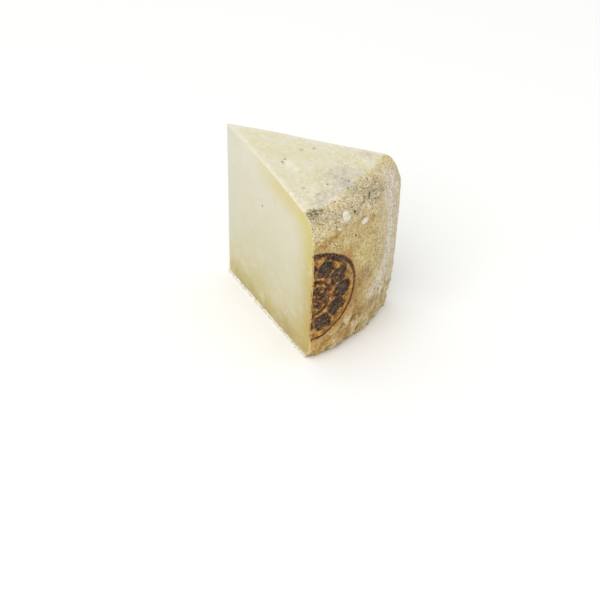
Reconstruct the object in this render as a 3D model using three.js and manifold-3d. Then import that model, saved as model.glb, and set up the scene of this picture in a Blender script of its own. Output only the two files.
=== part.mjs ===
// A wedge cut from a small drum-shaped cheese with a hard natural rind.
//
// Millimetres, +Z up. The wedge stands on the wheel's flat underside. +X runs from the thin edge, which was
// the middle of the wheel, to the rind. The origin is the middle of the bounding box, at its bottom.

import * as THREE from "three";
import { mergeVertices } from "three/addons/utils/BufferGeometryUtils.js";
import Module from "manifold-3d";

// ---- driving dimensions -------------------------------------------------------------------------------

const WEDGE_HALF_ANGLE = THREE.MathUtils.degToRad(21.82); // each cut, from the wedge's middle line
const THIN_EDGE_ROUND = 0.5; // radius where the two cuts meet

const LIP_HEIGHT = 1.2; // the rind of the underside, which the knife left standing out of both cuts
const FRONT_LIP_REACH = 0.9;
const BACK_LIP_REACH = 0.7;
const LIP_TIP_REACH = 1.6; // how far the lip runs out past the thin edge
const LIP_STEP = 1.6;

// The lip's reach swells and shrinks along the cut: wave length, share of the reach, and phase.
const LIP_WAVES = [
  [23, 0.3, 0.4],
  [9.5, 0.25, 2.1],
  [5.2, 0.2, 4.0],
];

// The wheel's outline, from the middle of its top over the shoulder and down the side to its foot, as radius
// and height. The wheel slumped a little unevenly as it ripened, so the outline differs from cut to cut.
const FRONT_OUTLINE = [
  [0, 94.4],
  [30, 94.0],
  [58, 93.1],
  [80, 90.6],
  [86.5, 89.5],
  [90.2, 86.9],
  [92.9, 79.2],
  [94.9, 66.0],
  [95.0, 58.0],
  [93.4, 44.0],
  [92.6, 31.0],
  [91.2, 15.0],
  [89.8, 7.0],
  [87.6, 1.6],
  [86.0, 0.0],
];
const BACK_OUTLINE = [
  [0, 94.4],
  [30, 94.7],
  [55, 93.8],
  [80, 93.4],
  [87.0, 92.9],
  [90.6, 89.2],
  [92.8, 83.5],
  [93.9, 77.0],
  [93.3, 60.0],
  [92.3, 44.0],
  [91.4, 33.0],
  [89.8, 17.0],
  [88.4, 9.5],
  [87.2, 3.0],
  [86.6, 0.0],
];

// Soft lumps where the side meets the table: azimuth from the middle line in degrees, and how far each
// stands out.
const FOOT_LUMPS = [
  [-12, 1.0],
  [3.5, 0.8],
  [21.5, 0.9],
];
const FOOT_LUMP_WIDTH = 3; // degrees
const FOOT_LUMP_HEIGHT = 7;

const STEPS_PER_SPAN = 3; // outline points between two stations
const WHEEL_SEGMENTS = 192;
const COLUMN_OFFSET = 0.4; // share of a segment that keeps the wheel's columns off the thin edge
const OUTLINE_SWINGS = 4; // the two outlines take turns this often round the wheel, so a cut falls on each
const CUTTER_RADIUS = 130;
const CUTTER_OVERLAP = 10; // how far the cutters reach above and below the wheel

const PASTE_COLOUR = [0.84, 0.8, 0.64];
const PASTE_ROUGHNESS = 0.6;

// ---- the uneven wheel ---------------------------------------------------------------------------------

/** The outline's points at one azimuth: `share` is 0 at the front cut and 1 at the back cut. */
function outlineAt(share) {
  const stations = FRONT_OUTLINE.map(([radius, height], index) => {
    const [backRadius, backHeight] = BACK_OUTLINE[index];
    return new THREE.Vector2(
      THREE.MathUtils.lerp(radius, backRadius, share),
      THREE.MathUtils.lerp(height, backHeight, share),
    );
  });
  return new THREE.SplineCurve(stations).getPoints((stations.length - 1) * STEPS_PER_SPAN);
}

/** How far the soft lumps push the side out, at an azimuth in degrees and a height. */
function footLump(azimuth, height) {
  let push = 0;
  for (const [centre, size] of FOOT_LUMPS) {
    const across = (azimuth - centre) / FOOT_LUMP_WIDTH;
    const up = height / FOOT_LUMP_HEIGHT;
    push += size * Math.exp(-across * across - up * up);
  }
  return push;
}

/** The whole wheel: a lathe turned about its axis, whose points are then moved to the uneven outline. */
function wheelGeometry() {
  const outline = outlineAt(0.5);
  const underside = new THREE.Vector2(0, 0);
  const lathe = new THREE.LatheGeometry([underside, ...outline.reverse()], WHEEL_SEGMENTS);
  lathe.rotateX(Math.PI / 2);

  const position = lathe.getAttribute("position");
  const rows = outline.length + 1;
  const topRow = rows - 1;
  for (let segment = 0; segment <= WHEEL_SEGMENTS; segment += 1) {
    const turn = (((segment % WHEEL_SEGMENTS) + COLUMN_OFFSET) / WHEEL_SEGMENTS) * 2 * Math.PI;
    const azimuth = turn > Math.PI ? turn - 2 * Math.PI : turn;
    const share = 0.5 + 0.5 * Math.sin(OUTLINE_SWINGS * azimuth);
    const uneven = outlineAt(share).reverse();
    for (let row = 1; row < rows; row += 1) {
      const { x: radius, y: height } = uneven[row - 1];
      const reach = row < topRow ? radius + footLump(THREE.MathUtils.radToDeg(azimuth), height) : 0;
      position.setXYZ(segment * rows + row, reach * Math.cos(azimuth), reach * Math.sin(azimuth), height);
    }
  }
  return lathe;
}

// ---- the knife's cuts ---------------------------------------------------------------------------------

/** A point on a cut's line in plan: `side` is -1 at the front and 1 at the back. */
function onCut(side, along, outwards) {
  const angle = side * WEDGE_HALF_ANGLE;
  const direction = new THREE.Vector2(Math.cos(angle), Math.sin(angle));
  const normal = new THREE.Vector2(-side * Math.sin(angle), side * Math.cos(angle));
  const centre = new THREE.Vector2(THIN_EDGE_ROUND, 0);
  return centre.addScaledVector(direction, along).addScaledVector(normal, THIN_EDGE_ROUND + outwards);
}

/** The plan of the wedge between its two cuts, with the thin edge rounded. */
function wedgePlan() {
  const plan = new THREE.Shape();
  const roundEnd = WEDGE_HALF_ANGLE + Math.PI / 2;
  plan.absarc(THIN_EDGE_ROUND, 0, THIN_EDGE_ROUND, roundEnd, 2 * Math.PI - roundEnd);
  const frontFar = onCut(-1, CUTTER_RADIUS, 0);
  const backFar = onCut(1, CUTTER_RADIUS, 0);
  plan.lineTo(frontFar.x, frontFar.y);
  plan.lineTo(backFar.x, backFar.y);
  plan.closePath();
  return plan;
}

/** How far the lip stands out of a cut, at a distance from the thin edge. */
function lipReach(reach, along) {
  let swell = 1;
  for (const [length, share, phase] of LIP_WAVES) {
    swell += share * Math.sin((2 * Math.PI * along) / length + phase);
  }
  return reach * swell;
}

/** The plan of the ragged lip of rind along the bottom of both cuts. */
function lipPlan() {
  const front = [];
  const back = [];
  for (let along = LIP_STEP; along <= CUTTER_RADIUS; along += LIP_STEP) {
    front.push(onCut(-1, along, lipReach(FRONT_LIP_REACH, along)));
    back.push(onCut(1, along, lipReach(BACK_LIP_REACH, along)));
  }
  return new THREE.Shape([new THREE.Vector2(-LIP_TIP_REACH, 0), ...front, ...back.reverse()]);
}

/** A plan drawn up into a cutter, from below the wheel to a height. */
function cutter(plan, top) {
  const geometry = new THREE.ExtrudeGeometry(plan, { depth: top + CUTTER_OVERLAP, bevelEnabled: false });
  geometry.translate(0, 0, -CUTTER_OVERLAP);
  return geometry;
}

// ---- joining and cutting ------------------------------------------------------------------------------

const wasm = await Module();
wasm.setup();

/** A closed geometry as a solid. Triangles that shrink to nothing at the wheel's axis are dropped. */
function solidFrom(geometry) {
  const bare = geometry.clone();
  bare.deleteAttribute("normal");
  bare.deleteAttribute("uv");
  const merged = mergeVertices(bare);
  const index = merged.getIndex().array;
  const triangles = [];
  for (let corner = 0; corner < index.length; corner += 3) {
    const [a, b, c] = [index[corner], index[corner + 1], index[corner + 2]];
    if (a !== b && b !== c && c !== a) {
      triangles.push(a, b, c);
    }
  }
  return new wasm.Manifold(
    new wasm.Mesh({
      numProp: 3,
      vertProperties: Float32Array.from(merged.getAttribute("position").array),
      triVerts: Uint32Array.from(triangles),
    }),
  );
}

/** A solid back as a geometry, with its vertices shared. */
function geometryFrom(solid) {
  const { vertProperties, triVerts } = solid.getMesh();
  const geometry = new THREE.BufferGeometry();
  geometry.setAttribute("position", new THREE.BufferAttribute(vertProperties, 3));
  geometry.setIndex(new THREE.BufferAttribute(triVerts, 1));
  return geometry;
}

/** The wedge in the wheel's own frame: the axis at the origin, the underside at height 0. */
function wedgeGeometry() {
  const wheelTop = BACK_OUTLINE[0][1];
  const wedge = solidFrom(cutter(wedgePlan(), wheelTop + CUTTER_OVERLAP));
  const lip = solidFrom(cutter(lipPlan(), LIP_HEIGHT));
  return geometryFrom(solidFrom(wheelGeometry()).intersect(wedge.add(lip)));
}

// ---- the part -----------------------------------------------------------------------------------------

function cheeseMaterial() {
  const color = new THREE.Color(...PASTE_COLOUR);
  return new THREE.MeshStandardMaterial({ color, roughness: PASTE_ROUGHNESS, metalness: 0 });
}

const part = new THREE.Group();
const geometry = wedgeGeometry();
geometry.computeVertexNormals();
geometry.computeBoundingBox();
const middle = geometry.boundingBox.getCenter(new THREE.Vector3());

const wedge = new THREE.Mesh(geometry, cheeseMaterial());
wedge.name = "cheese_wedge";
wedge.position.set(-middle.x, -middle.y, -geometry.boundingBox.min.z);
part.add(wedge);

export default part;
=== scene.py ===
"""A wedge cut from a small drum-shaped sheep's milk cheese, with its pale paste and its aged natural rind."""

import math

import bmesh
import bpy
import numpy as np
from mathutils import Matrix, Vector
from mathutils.bvhtree import BVHTree
from mathutils.geometry import delaunay_2d_cdt


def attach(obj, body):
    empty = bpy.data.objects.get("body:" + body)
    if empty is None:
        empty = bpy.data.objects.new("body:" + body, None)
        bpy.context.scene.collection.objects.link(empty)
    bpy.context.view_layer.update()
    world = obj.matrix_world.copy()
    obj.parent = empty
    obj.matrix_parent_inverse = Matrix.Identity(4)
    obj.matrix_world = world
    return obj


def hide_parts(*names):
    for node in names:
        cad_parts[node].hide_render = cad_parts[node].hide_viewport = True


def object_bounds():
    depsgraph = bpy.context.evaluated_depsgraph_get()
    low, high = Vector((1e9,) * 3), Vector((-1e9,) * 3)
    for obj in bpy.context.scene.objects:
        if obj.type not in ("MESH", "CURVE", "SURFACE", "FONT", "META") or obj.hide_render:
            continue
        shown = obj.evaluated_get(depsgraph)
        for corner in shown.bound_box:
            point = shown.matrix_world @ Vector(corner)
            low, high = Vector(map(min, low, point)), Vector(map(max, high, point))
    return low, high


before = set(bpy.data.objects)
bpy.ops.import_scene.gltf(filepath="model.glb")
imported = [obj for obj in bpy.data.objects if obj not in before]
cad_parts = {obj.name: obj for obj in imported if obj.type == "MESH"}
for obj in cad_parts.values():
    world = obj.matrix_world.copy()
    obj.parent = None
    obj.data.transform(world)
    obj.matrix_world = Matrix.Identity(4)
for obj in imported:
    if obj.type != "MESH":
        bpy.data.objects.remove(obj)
cad_low, cad_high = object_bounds()

# ---- sizes --------------------------------------------------------------------------------------------
# The frame is in metres. The forms are drawn in millimetres and scaled once, when their meshes are made.

MM = 0.001
NODE = "cheese_wedge"
BODY = "root"

HALF_ANGLE = math.radians(21.82)  # each cut, from the wedge's middle line
THIN_EDGE_ROUND = 0.5  # radius where the two cuts meet
LIP_TIP_REACH = 1.6  # how far the lip of rind runs out past the thin edge

HUB_REACH = 50.0  # the outline is measured outwards from a hub inside the cheese
HUB_HEIGHT = 50.0
JOIN_TILT = math.radians(67)  # where the finely meshed rind ends, seen from the hub
CUT_MARGIN = math.radians(0.35)  # the outline is measured this far inside the cuts
FOOT_LIFT = 0.05  # and its foot this far above the underside
TOP_SAMPLES = (0.0, 3.0, 6.0, 9.0)  # the top's height is a mean of these distances towards the rind
TIP_INSET = 1.5  # near the thin edge the top is measured this far in
TIP_PLACE = 0.2  # of the thin edge's top, out from the wheel's axis
SHEET_RADIUS = 94.0  # spaces the columns of the rind's sheet
OUTLINE_SAMPLES = 600  # tilts at which the outline's length is measured
TILT_MARGIN = 0.01  # radians above the foot at which they start
EVENING_WIDTH = 3  # neighbours each way over which the sheet is averaged
BLOCK = 2000  # points whose distances are found at once

RIND_STEP = 0.38  # mesh spacing on the side and the shoulder
TOP_STEP = 0.85
PASTE_STEP = 1.3
UNDERSIDE_STEP = 1.7
THIN_EDGE_STEP = 1.1
BORDER_STEPS = (0.15, 0.42, 0.8)  # finer rows beside a knife edge

# ---- small tools --------------------------------------------------------------------------------------


def smooth_step(low, high, value):
    """0 at low, 1 at high, and an eased slope between them."""
    share = np.clip((value - low) / (high - low), 0, 1)
    return share * share * (3 - 2 * share)


CELL_PRIMES = np.array([73856093, 19349663, 83492791])  # they set neighbouring cells far apart
FIRST_PRIME = 1274126177
SECOND_PRIME = 668265263
LOW_BITS = 0x7FFFFFFF
SHARE_BITS = 0xFFFFFF


def lattice_value(cells, seed):
    """A fixed random number from 0 to 1 for each whole-numbered cell."""
    mixed = cells.astype(np.int64) @ CELL_PRIMES + seed * SECOND_PRIME
    mixed = (mixed ^ (mixed >> 13)) * FIRST_PRIME & LOW_BITS
    mixed = (mixed ^ (mixed >> 16)) * SECOND_PRIME & LOW_BITS
    return (mixed & SHARE_BITS) / SHARE_BITS


def value_noise(points, size, seed):
    """Smooth noise from -1 to 1 at points in space, with swells about as wide as size."""
    scaled = np.asarray(points, float) / size
    base = np.floor(scaled)
    share = smooth_step(0, 1, scaled - base)
    total = np.zeros(len(scaled))
    for corner in np.ndindex(2, 2, 2):
        offset = np.array(corner)
        weight = np.prod(np.where(offset == 1, share, 1 - share), axis=1)
        total += weight * lattice_value(base + offset, seed)
    return 2 * total - 1


def new_object(name, mesh):
    made = bpy.data.objects.new(name, mesh)
    bpy.context.scene.collection.objects.link(made)
    return made


# ---- the solid to follow ------------------------------------------------------------------------------


def solid_tree():
    """The frame's solid as a tree that rays are cast at."""
    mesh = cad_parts[NODE].data
    corners = [v.co / MM for v in mesh.vertices]
    return BVHTree.FromPolygons(corners, [tuple(p.vertices) for p in mesh.polygons])


def wheel_axis():
    """The foot of the wheel's axis, in millimetres, found from the tip of the lip."""
    corners = [v.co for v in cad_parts[NODE].data.vertices]
    tip = min(corners, key=lambda co: co.x)
    return Vector((tip.x / MM + LIP_TIP_REACH, tip.y / MM, 0))


SOLID = solid_tree()
AXIS = wheel_axis()
CUT_CORNER = AXIS + Vector((THIN_EDGE_ROUND - THIN_EDGE_ROUND / math.sin(HALF_ANGLE), 0, 0))
THIN_EDGE_REACH = THIN_EDGE_ROUND / math.tan(HALF_ANGLE)  # from the cuts' corner to where its rounding ends


def cast(start, direction):
    """How far the solid's surface is from a point inside it."""
    hit = SOLID.ray_cast(Vector(start), Vector(direction).normalized())
    return hit[3]


def outwards(turn):
    """The level way out at this turn about the cuts' corner, kept just inside the cuts."""
    inside = max(-HALF_ANGLE + CUT_MARGIN, min(HALF_ANGLE - CUT_MARGIN, turn))
    return Vector((math.cos(inside), math.sin(inside), 0))


def outline_reach(turn, tilt):
    """From the hub at this turn, the distance to the surface at this tilt."""
    out = outwards(turn)
    hub = CUT_CORNER + out * HUB_REACH + Vector((0, 0, HUB_HEIGHT))
    return cast(hub, out * math.cos(tilt) + Vector((0, 0, math.sin(tilt))))


def foot_reach(turn):
    """From the cuts' corner, the distance to the foot of the rind at this turn."""
    out = outwards(turn)
    return HUB_REACH + cast(CUT_CORNER + out * HUB_REACH + Vector((0, 0, FOOT_LIFT)), out)


def top_height(x, y):
    """The height of the top, evened out over the solid's own facets."""
    up = (0, 0, 1)
    places = [(x + shift, y) for shift in TOP_SAMPLES]
    lift = [cast((*spot, HUB_HEIGHT), up) for spot in places if inside_top(*spot)]
    if not lift:
        return HUB_HEIGHT + cast((x + TIP_INSET, y / 2, HUB_HEIGHT), up)
    return HUB_HEIGHT + sum(lift) / len(lift)


def inside_top(x, y):
    """True where a plan point lies well between the two cuts."""
    along = x - CUT_CORNER.x
    return along > TIP_INSET and abs(y - CUT_CORNER.y) < along * math.tan(HALF_ANGLE - CUT_MARGIN)


# ---- the rind's fine sheet: side, shoulder and outer top ------------------------------------------------


def graded(length, step, fine_ends):
    """Places along a length: finer beside the start, and beside the end too if asked."""
    places = [0.0, *BORDER_STEPS]
    last = length - (BORDER_STEPS[-1] if fine_ends else 0.0)
    count = max(1, round((last - places[-1]) / step))
    places += list(np.linspace(places[-1], last, count + 1)[1:])
    if fine_ends:
        places += [length - offset for offset in reversed((0.0, *BORDER_STEPS[:-1]))]
    return np.array(places)


def even(grid, width):
    """The grid averaged over a few neighbours each way, its borders held."""
    for axis in (0, 1):
        pad = [(width, width) if axis == way else (0, 0) for way in (0, 1)]
        padded = np.pad(grid, pad, mode="edge")
        moved = [np.roll(padded, shift, axis) for shift in range(-width, width + 1)]
        centre = np.mean(moved, axis=0)
        cut = [slice(width, -width) if axis == way else slice(None) for way in (0, 1)]
        grid = centre[tuple(cut)]
    return grid


def sheet_grid():
    """Points of the sheet, row by row from the foot up the side and over the shoulder."""
    turns = graded(2 * HALF_ANGLE * SHEET_RADIUS, RIND_STEP, True) / SHEET_RADIUS - HALF_ANGLE
    foot_tilt = math.atan2(-HUB_HEIGHT, foot_reach(0) - HUB_REACH)
    trial = np.linspace(foot_tilt + TILT_MARGIN, JOIN_TILT, OUTLINE_SAMPLES)
    reach = np.array([outline_reach(0, tilt) for tilt in trial])
    path = np.stack([reach * np.cos(trial), reach * np.sin(trial)], 1)
    length = np.concatenate([[0], np.cumsum(np.hypot(*np.diff(path, axis=0).T))])
    rows = graded(length[-1], RIND_STEP, False)
    share = (np.interp(rows, length, trial) - trial[0]) / (trial[-1] - trial[0])

    feet = np.array([foot_reach(turn) for turn in turns])
    tilts = np.arctan2(-HUB_HEIGHT, feet - HUB_REACH)[None, :]
    tilts = tilts + share[:, None] * (JOIN_TILT - tilts)
    reaches = np.array([[outline_reach(turn, tilt) for turn, tilt in zip(turns, row)] for row in tilts])
    reaches = even(even(reaches, EVENING_WIDTH), EVENING_WIDTH)
    out = HUB_REACH + reaches * np.cos(tilts)
    height = HUB_HEIGHT + reaches * np.sin(tilts)
    out[0] = feet
    height[0] = 0
    return np.stack([CUT_CORNER.x + out * np.cos(turns), CUT_CORNER.y + out * np.sin(turns), height], 2)


# ---- flat fills: top, underside and the two cuts --------------------------------------------------------


def inside_loop(points, loop):
    """Which flat points lie inside a closed loop."""
    following = np.roll(loop, -1, axis=0)
    x, y = points[:, :1], points[:, 1:]
    spans = (loop[:, 1] > y) != (following[:, 1] > y)
    rise = following[:, 1] - loop[:, 1]
    cross = loop[:, 0] + (y - loop[:, 1]) * (following[:, 0] - loop[:, 0]) / np.where(rise == 0, 1, rise)
    return (spans & (x < cross)).sum(1) % 2 == 1


def loop_distance(points, loop):
    """How far each flat point is from a closed loop."""
    side = np.roll(loop, -1, axis=0) - loop
    length = np.maximum((side**2).sum(1), 1e-12)
    best = np.full(len(points), np.inf)
    for start in range(0, len(points), BLOCK):
        block = points[start : start + BLOCK, None, :] - loop[None]
        share = np.clip((block * side).sum(2) / length, 0, 1)
        gap = block - share[..., None] * side
        best[start : start + BLOCK] = np.sqrt((gap**2).sum(2)).min(1)
    return best


def nearest(points, others):
    """How far each point is from the nearest of some others."""
    return np.min([np.hypot(*(points - other).T) for other in others], axis=0)


def border_rows(loop):
    """Rows of points just inside a loop that runs anticlockwise, for a crisp knife edge."""
    side = np.roll(loop, -1, axis=0) - np.roll(loop, 1, axis=0)
    inward = np.stack([-side[:, 1], side[:, 0]], 1) / np.maximum(np.hypot(*side.T), 1e-9)[:, None]
    return np.concatenate([loop + inward * offset for offset in BORDER_STEPS])


def fill(loop, step, fine_border, extra=None):
    """Triangles across a flat loop: the loop's points first, then a triangular lattice and extra points."""
    loop = np.asarray(loop, np.float32).astype(float)  # as exact as the triangulation's own numbers
    low, high = loop.min(0), loop.max(0)
    rows = np.arange(low[1], high[1], step * math.sqrt(3) / 2)
    lattice = np.array([
        (x + (step / 2 if index % 2 else 0), y)
        for index, y in enumerate(rows)
        for x in np.arange(low[0], high[0], step)
    ])
    margin = BORDER_STEPS[-1] + 0.5 * step if fine_border else 0.6 * step
    lattice = lattice[inside_loop(lattice, loop)]
    lattice = lattice[loop_distance(lattice, loop) > margin]
    if fine_border:
        border = border_rows(loop)
        border = border[inside_loop(border, loop)]
        border = border[loop_distance(border, loop) > 0.8 * BORDER_STEPS[0]]
        lattice = np.concatenate([border, lattice])
    if extra is not None:
        lattice = np.concatenate([lattice[nearest(lattice, extra) > PIT_CLEARANCE], extra])
    points = np.concatenate([loop, lattice])
    made = delaunay_2d_cdt([Vector(p) for p in points], [], [list(range(len(loop)))], 1, 1e-7, True)
    order = [source[0] for source in made[3]]
    triangles = np.array([[order[corner] for corner in face] for face in made[2]])
    inside = inside_loop(points[triangles].mean(1), loop)  # slivers outside a straight side are dropped
    return lattice, triangles[inside]


PLAN_CORNER = np.array([CUT_CORNER.x, CUT_CORNER.y])
PIT_DEPTH = 1.5  # of a pit in the paste, as a share of its radius
PIT_RING_COUNTS = (6, 10, 14, 18)  # points in each ring round a pit
PIT_RING_STEP = 0.34  # between the rings, as a share of its radius
PIT_CLEARANCE = 0.3  # the cut's other points stay this far from a pit's own

# Pits in each cut, small holes left by the whey: distance from the cuts' corner, height and radius.
PITS = {
    -1: [(39.6, 66.5, 0.75), (35.0, 67.6, 0.34), (37.4, 69.0, 0.26), (26.4, 4.2, 0.4), (72.6, 54.0, 0.24)],
    1: [(57.0, 41.0, 0.6), (60.2, 43.5, 0.3), (31.0, 24.0, 0.35), (46.0, 71.0, 0.25), (74.0, 20.0, 0.3)],
}


def cut_direction(side):
    """Along a cut in plan: side is -1 at the front and 1 at the back."""
    return np.array([math.cos(HALF_ANGLE), side * math.sin(HALF_ANGLE)])


def cut_normal(side):
    """Straight out of a cut."""
    return np.array([-math.sin(HALF_ANGLE), side * math.cos(HALF_ANGLE), 0])


def on_cut(side, along):
    """The plan point on a cut at a distance from the cuts' corner, or on the thin edge's rounding."""
    if along >= THIN_EDGE_REACH:
        return PLAN_CORNER + cut_direction(side) * along
    share = along / THIN_EDGE_REACH
    turn = side * (math.pi - share * (math.pi / 2 - HALF_ANGLE))
    centre = np.array([AXIS.x + THIN_EDGE_ROUND, AXIS.y])
    return centre + THIN_EDGE_ROUND * np.array([math.cos(turn), math.sin(turn)])


def edge_places(length, step):
    """Places between the thin edge and a join, not counting either, finer round the thin edge."""
    near = [0.4, 0.8, THIN_EDGE_REACH]
    count = round((length - near[-1]) / step)
    return np.array([*near, *np.linspace(near[-1], length, count + 1)[1:-1]])


def pit_rings(pits):
    """Rings of points round each pit, so that the mesh can follow it."""
    rings = []
    for along, height, size in pits:
        rings.append((along, height))
        for ring, count in enumerate(PIT_RING_COUNTS, start=1):
            for turn in np.arange(count) * 2 * math.pi / count:
                reach = size * PIT_RING_STEP * ring
                rings.append((along + reach * math.cos(turn), height + reach * math.sin(turn)))
    return np.array(rings)


class Surface:
    """Points and faces gathered from several sheets that share their borders."""

    def __init__(self):
        self.points = []
        self.faces = []
        self.is_paste = []
        self.knife_edges = {}  # for each cut, the points that it shares with the rind
        self.rind_paths = {}  # for each cut, the rind's outline in the plane of the cut
        self.foot = []  # points round the underside, which stay level with it
        self.underside = []  # points inside it

    def add_points(self, points):
        start = len(self.points)
        self.points += [tuple(p) for p in points]
        return np.arange(start, len(self.points))

    def add_faces(self, faces, paste):
        self.faces += [tuple(int(corner) for corner in face) for face in faces]
        self.is_paste += [paste] * len(faces)

    def add_fill(self, loop_ids, filled, raise_point, paste):
        """A flat fill, each of whose inner points is raised to its place in space."""
        lattice, triangles = filled
        inner_ids = self.add_points([raise_point(a, b) for a, b in lattice])
        self.add_faces(np.array([*loop_ids, *inner_ids])[triangles], paste)
        return inner_ids


def add_cut(surface, side, grid, ids, thin, heights):
    """One cut face, with its edges along the top and the foot. Gives the ids of those edges."""
    column = 0 if side < 0 else grid.shape[1] - 1
    side_along = np.hypot(*(grid[:, column, :2] - PLAN_CORNER).T)
    top_along = edge_places(side_along[-1], TOP_STEP)
    foot_along = edge_places(side_along[0], PASTE_STEP)
    top_edge = surface.add_points([(*on_cut(side, a), top_height(*on_cut(side, a))) for a in top_along])
    foot_edge = surface.add_points([(*on_cut(side, a), 0.0) for a in foot_along])
    loop_ids = [*foot_edge, *ids[:, column], *top_edge[::-1], *thin[::-1]]
    along = np.concatenate([foot_along, side_along, top_along[::-1], 0 * heights])
    loop = np.stack([along, np.array([surface.points[i][2] for i in loop_ids])], 1)
    filled = fill(loop, PASTE_STEP, True, pit_rings(PITS[side]))
    surface.add_fill(loop_ids, filled, lambda a, z: (*on_cut(side, a), z), True)
    surface.knife_edges[side] = [*foot_edge, *ids[:, column], *top_edge]
    surface.rind_paths[side] = loop[: len(loop) - len(heights)]
    return top_edge, foot_edge


def build_surface():
    """The whole closed skin of the wedge, in millimetres."""
    surface = Surface()
    grid = sheet_grid()
    ids = surface.add_points(grid.reshape(-1, 3)).reshape(grid.shape[:2])
    quads = np.stack([ids[:-1, :-1], ids[:-1, 1:], ids[1:, 1:], ids[1:, :-1]], 2).reshape(-1, 4)
    surface.add_faces(quads, False)

    thin_top = top_height(AXIS.x + TIP_PLACE, AXIS.y)
    heights = np.linspace(0, thin_top, round(thin_top / THIN_EDGE_STEP) + 1)
    thin = surface.add_points([(*on_cut(1, 0.0), z) for z in heights])
    front_top, front_foot = add_cut(surface, -1, grid, ids, thin, heights)
    back_top, back_foot = add_cut(surface, 1, grid, ids, thin, heights)

    top_loop = [*ids[-1], *back_top[::-1], thin[-1], *front_top]
    loop = np.array([surface.points[i][:2] for i in top_loop])
    surface.add_fill(top_loop, fill(loop, TOP_STEP, False), lambda x, y: (x, y, top_height(x, y)), False)

    foot_loop = [*ids[0], *back_foot[::-1], thin[0], *front_foot]
    loop = np.array([surface.points[i][:2] for i in foot_loop])
    inner = surface.add_fill(foot_loop, fill(loop, UNDERSIDE_STEP, False), lambda x, y: (x, y, 0.0), False)
    surface.foot = foot_loop
    surface.underside = inner
    return surface


# ---- where each look of the rind lies -------------------------------------------------------------------
# Every field is a number for each point of the skin: 1 where a look is full, 0 where there is none of it.
# Only the depth of the mark's ink and the distances from a place are millimetres. Borders and the band are
# given by a few stations, and spots by azimuth in degrees, radius, height and size.

ARC_RADIUS = 93.5  # turns an azimuth into millimetres round the side
CROWN_BORDER = [  # the radius at which the top's look ends, by azimuth
    (-22, 84.0),
    (-19, 81.8),
    (-16.5, 83.6),
    (-12, 84.0),
    (-6, 84.0),
    (0, 82.8),
    (7, 82.6),
    (12, 84.2),
    (22, 85.0),
]
AGED_BORDER = [  # the height at which the shoulder's look ends, by the distance round the side
    (-36, 84.5),
    (-29, 83.5),
    (-22, 80.0),
    (-12, 79.5),
    (-4, 80.5),
    (12, 80.0),
    (20, 83.0),
    (36, 84.0),
]
BAND_HEIGHTS = (6, 24, 29, 37, 43, 60, 75, 90)  # the pale band's middle, by height,
BAND_ARCS = (0.0, 8.0, 13.0, 18.5, 22.0, 21.5, 19.5, 24.0)  # and as a distance round the side
BAND_WIDTHS = (4.2, 7.0)  # how soon it fades towards the mark, and away from it
BLOOM_FOOT = 22.0  # height at which the bloom beyond the band ends
SIDE_RADII = (78, 82)  # the side's looks begin between these
CROWN_LOWEST = 60  # nothing of the top lies below this height

# How the borders wander: how far, over what length, and the seed.
WANDERING = {
    "top": (1.6, 3.5, 11),
    "shoulder": (2.5, 5.0, 12),
    "band": (2.2, 9.0, 13),
    "band edge": (1.6, 3.2, 16),
    "low side": (4.0, 7.0, 14),
    "bloom": (3.0, 6.0, 15),
    "grains": (3.5, 4.5, 17),
}

SPOTS = [  # single dark spots
    (-4.9, 91.8, 84.3, 1.15),
    (-6.8, 43.6, 93.5, 0.75),
    (-10.0, 44.3, 93.4, 0.8),
    (1.6, 79.2, 91.9, 0.75),
    (-5.4, 73.0, 92.2, 0.6),
    (-5.9, 94.2, 71.8, 0.9),
    (-7.4, 94.0, 73.6, 0.5),
    (2.3, 94.4, 66.8, 0.55),
    (-13.0, 92.9, 81.3, 0.8),
    (-0.8, 88.4, 5.0, 1.7),
    (-6.3, 93.4, 60.8, 0.5),
    (1.8, 93.6, 55.0, 0.45),
    (7.0, 93.4, 62.0, 0.4),
    (13.0, 93.2, 72.0, 0.5),
    (-4.2, 92.0, 28.0, 0.7),
]
DARK_MOULD = [  # knots of nearly black mould on the shoulder
    (-20.4, 86.2, 89.4, 2.6),
    (-18.6, 86.0, 89.7, 2.4),
    (-16.4, 86.4, 89.8, 1.5),
    (3.0, 90.4, 88.4, 1.3),
    (6.2, 90.6, 88.0, 1.0),
    (0.4, 90.4, 87.8, 0.8),
]
GREY_MOULD = [  # the grey mould round them
    (-18.4, 87.4, 88.6, 4.0),
    (3.4, 90.4, 87.6, 5.0),
    (0.2, 84.5, 91.4, 5.0),
    (9.0, 90.6, 87.0, 3.5),
    (-12.5, 90.5, 86.8, 2.2),
    (1.0, 78.0, 92.0, 3.5),
]
LAVENDER = [  # grey-violet bloom on the top
    (0.8, 73.0, 92.6, 7.5),
    (-1.0, 81.0, 91.9, 7.5),
    (-5.0, 80.5, 91.5, 5.0),
    (6.0, 72.0, 92.9, 5.0),
    (19.8, 77.0, 93.3, 4.0),
    (-8.5, 79.0, 91.8, 5.5),
    (-13.0, 80.5, 91.4, 4.8),
    (6.0, 80.5, 92.4, 5.0),
]
FAINT_SPOTS = [  # faint spots on the top
    (8.3, 45.0, 93.9, 1.3),
    (13.5, 50.0, 93.9, 1.2),
    (-10.4, 45.6, 93.3, 1.2),
    (-14.6, 68.0, 92.0, 1.1),
    (-12.0, 76.0, 91.6, 1.2),
]
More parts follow.
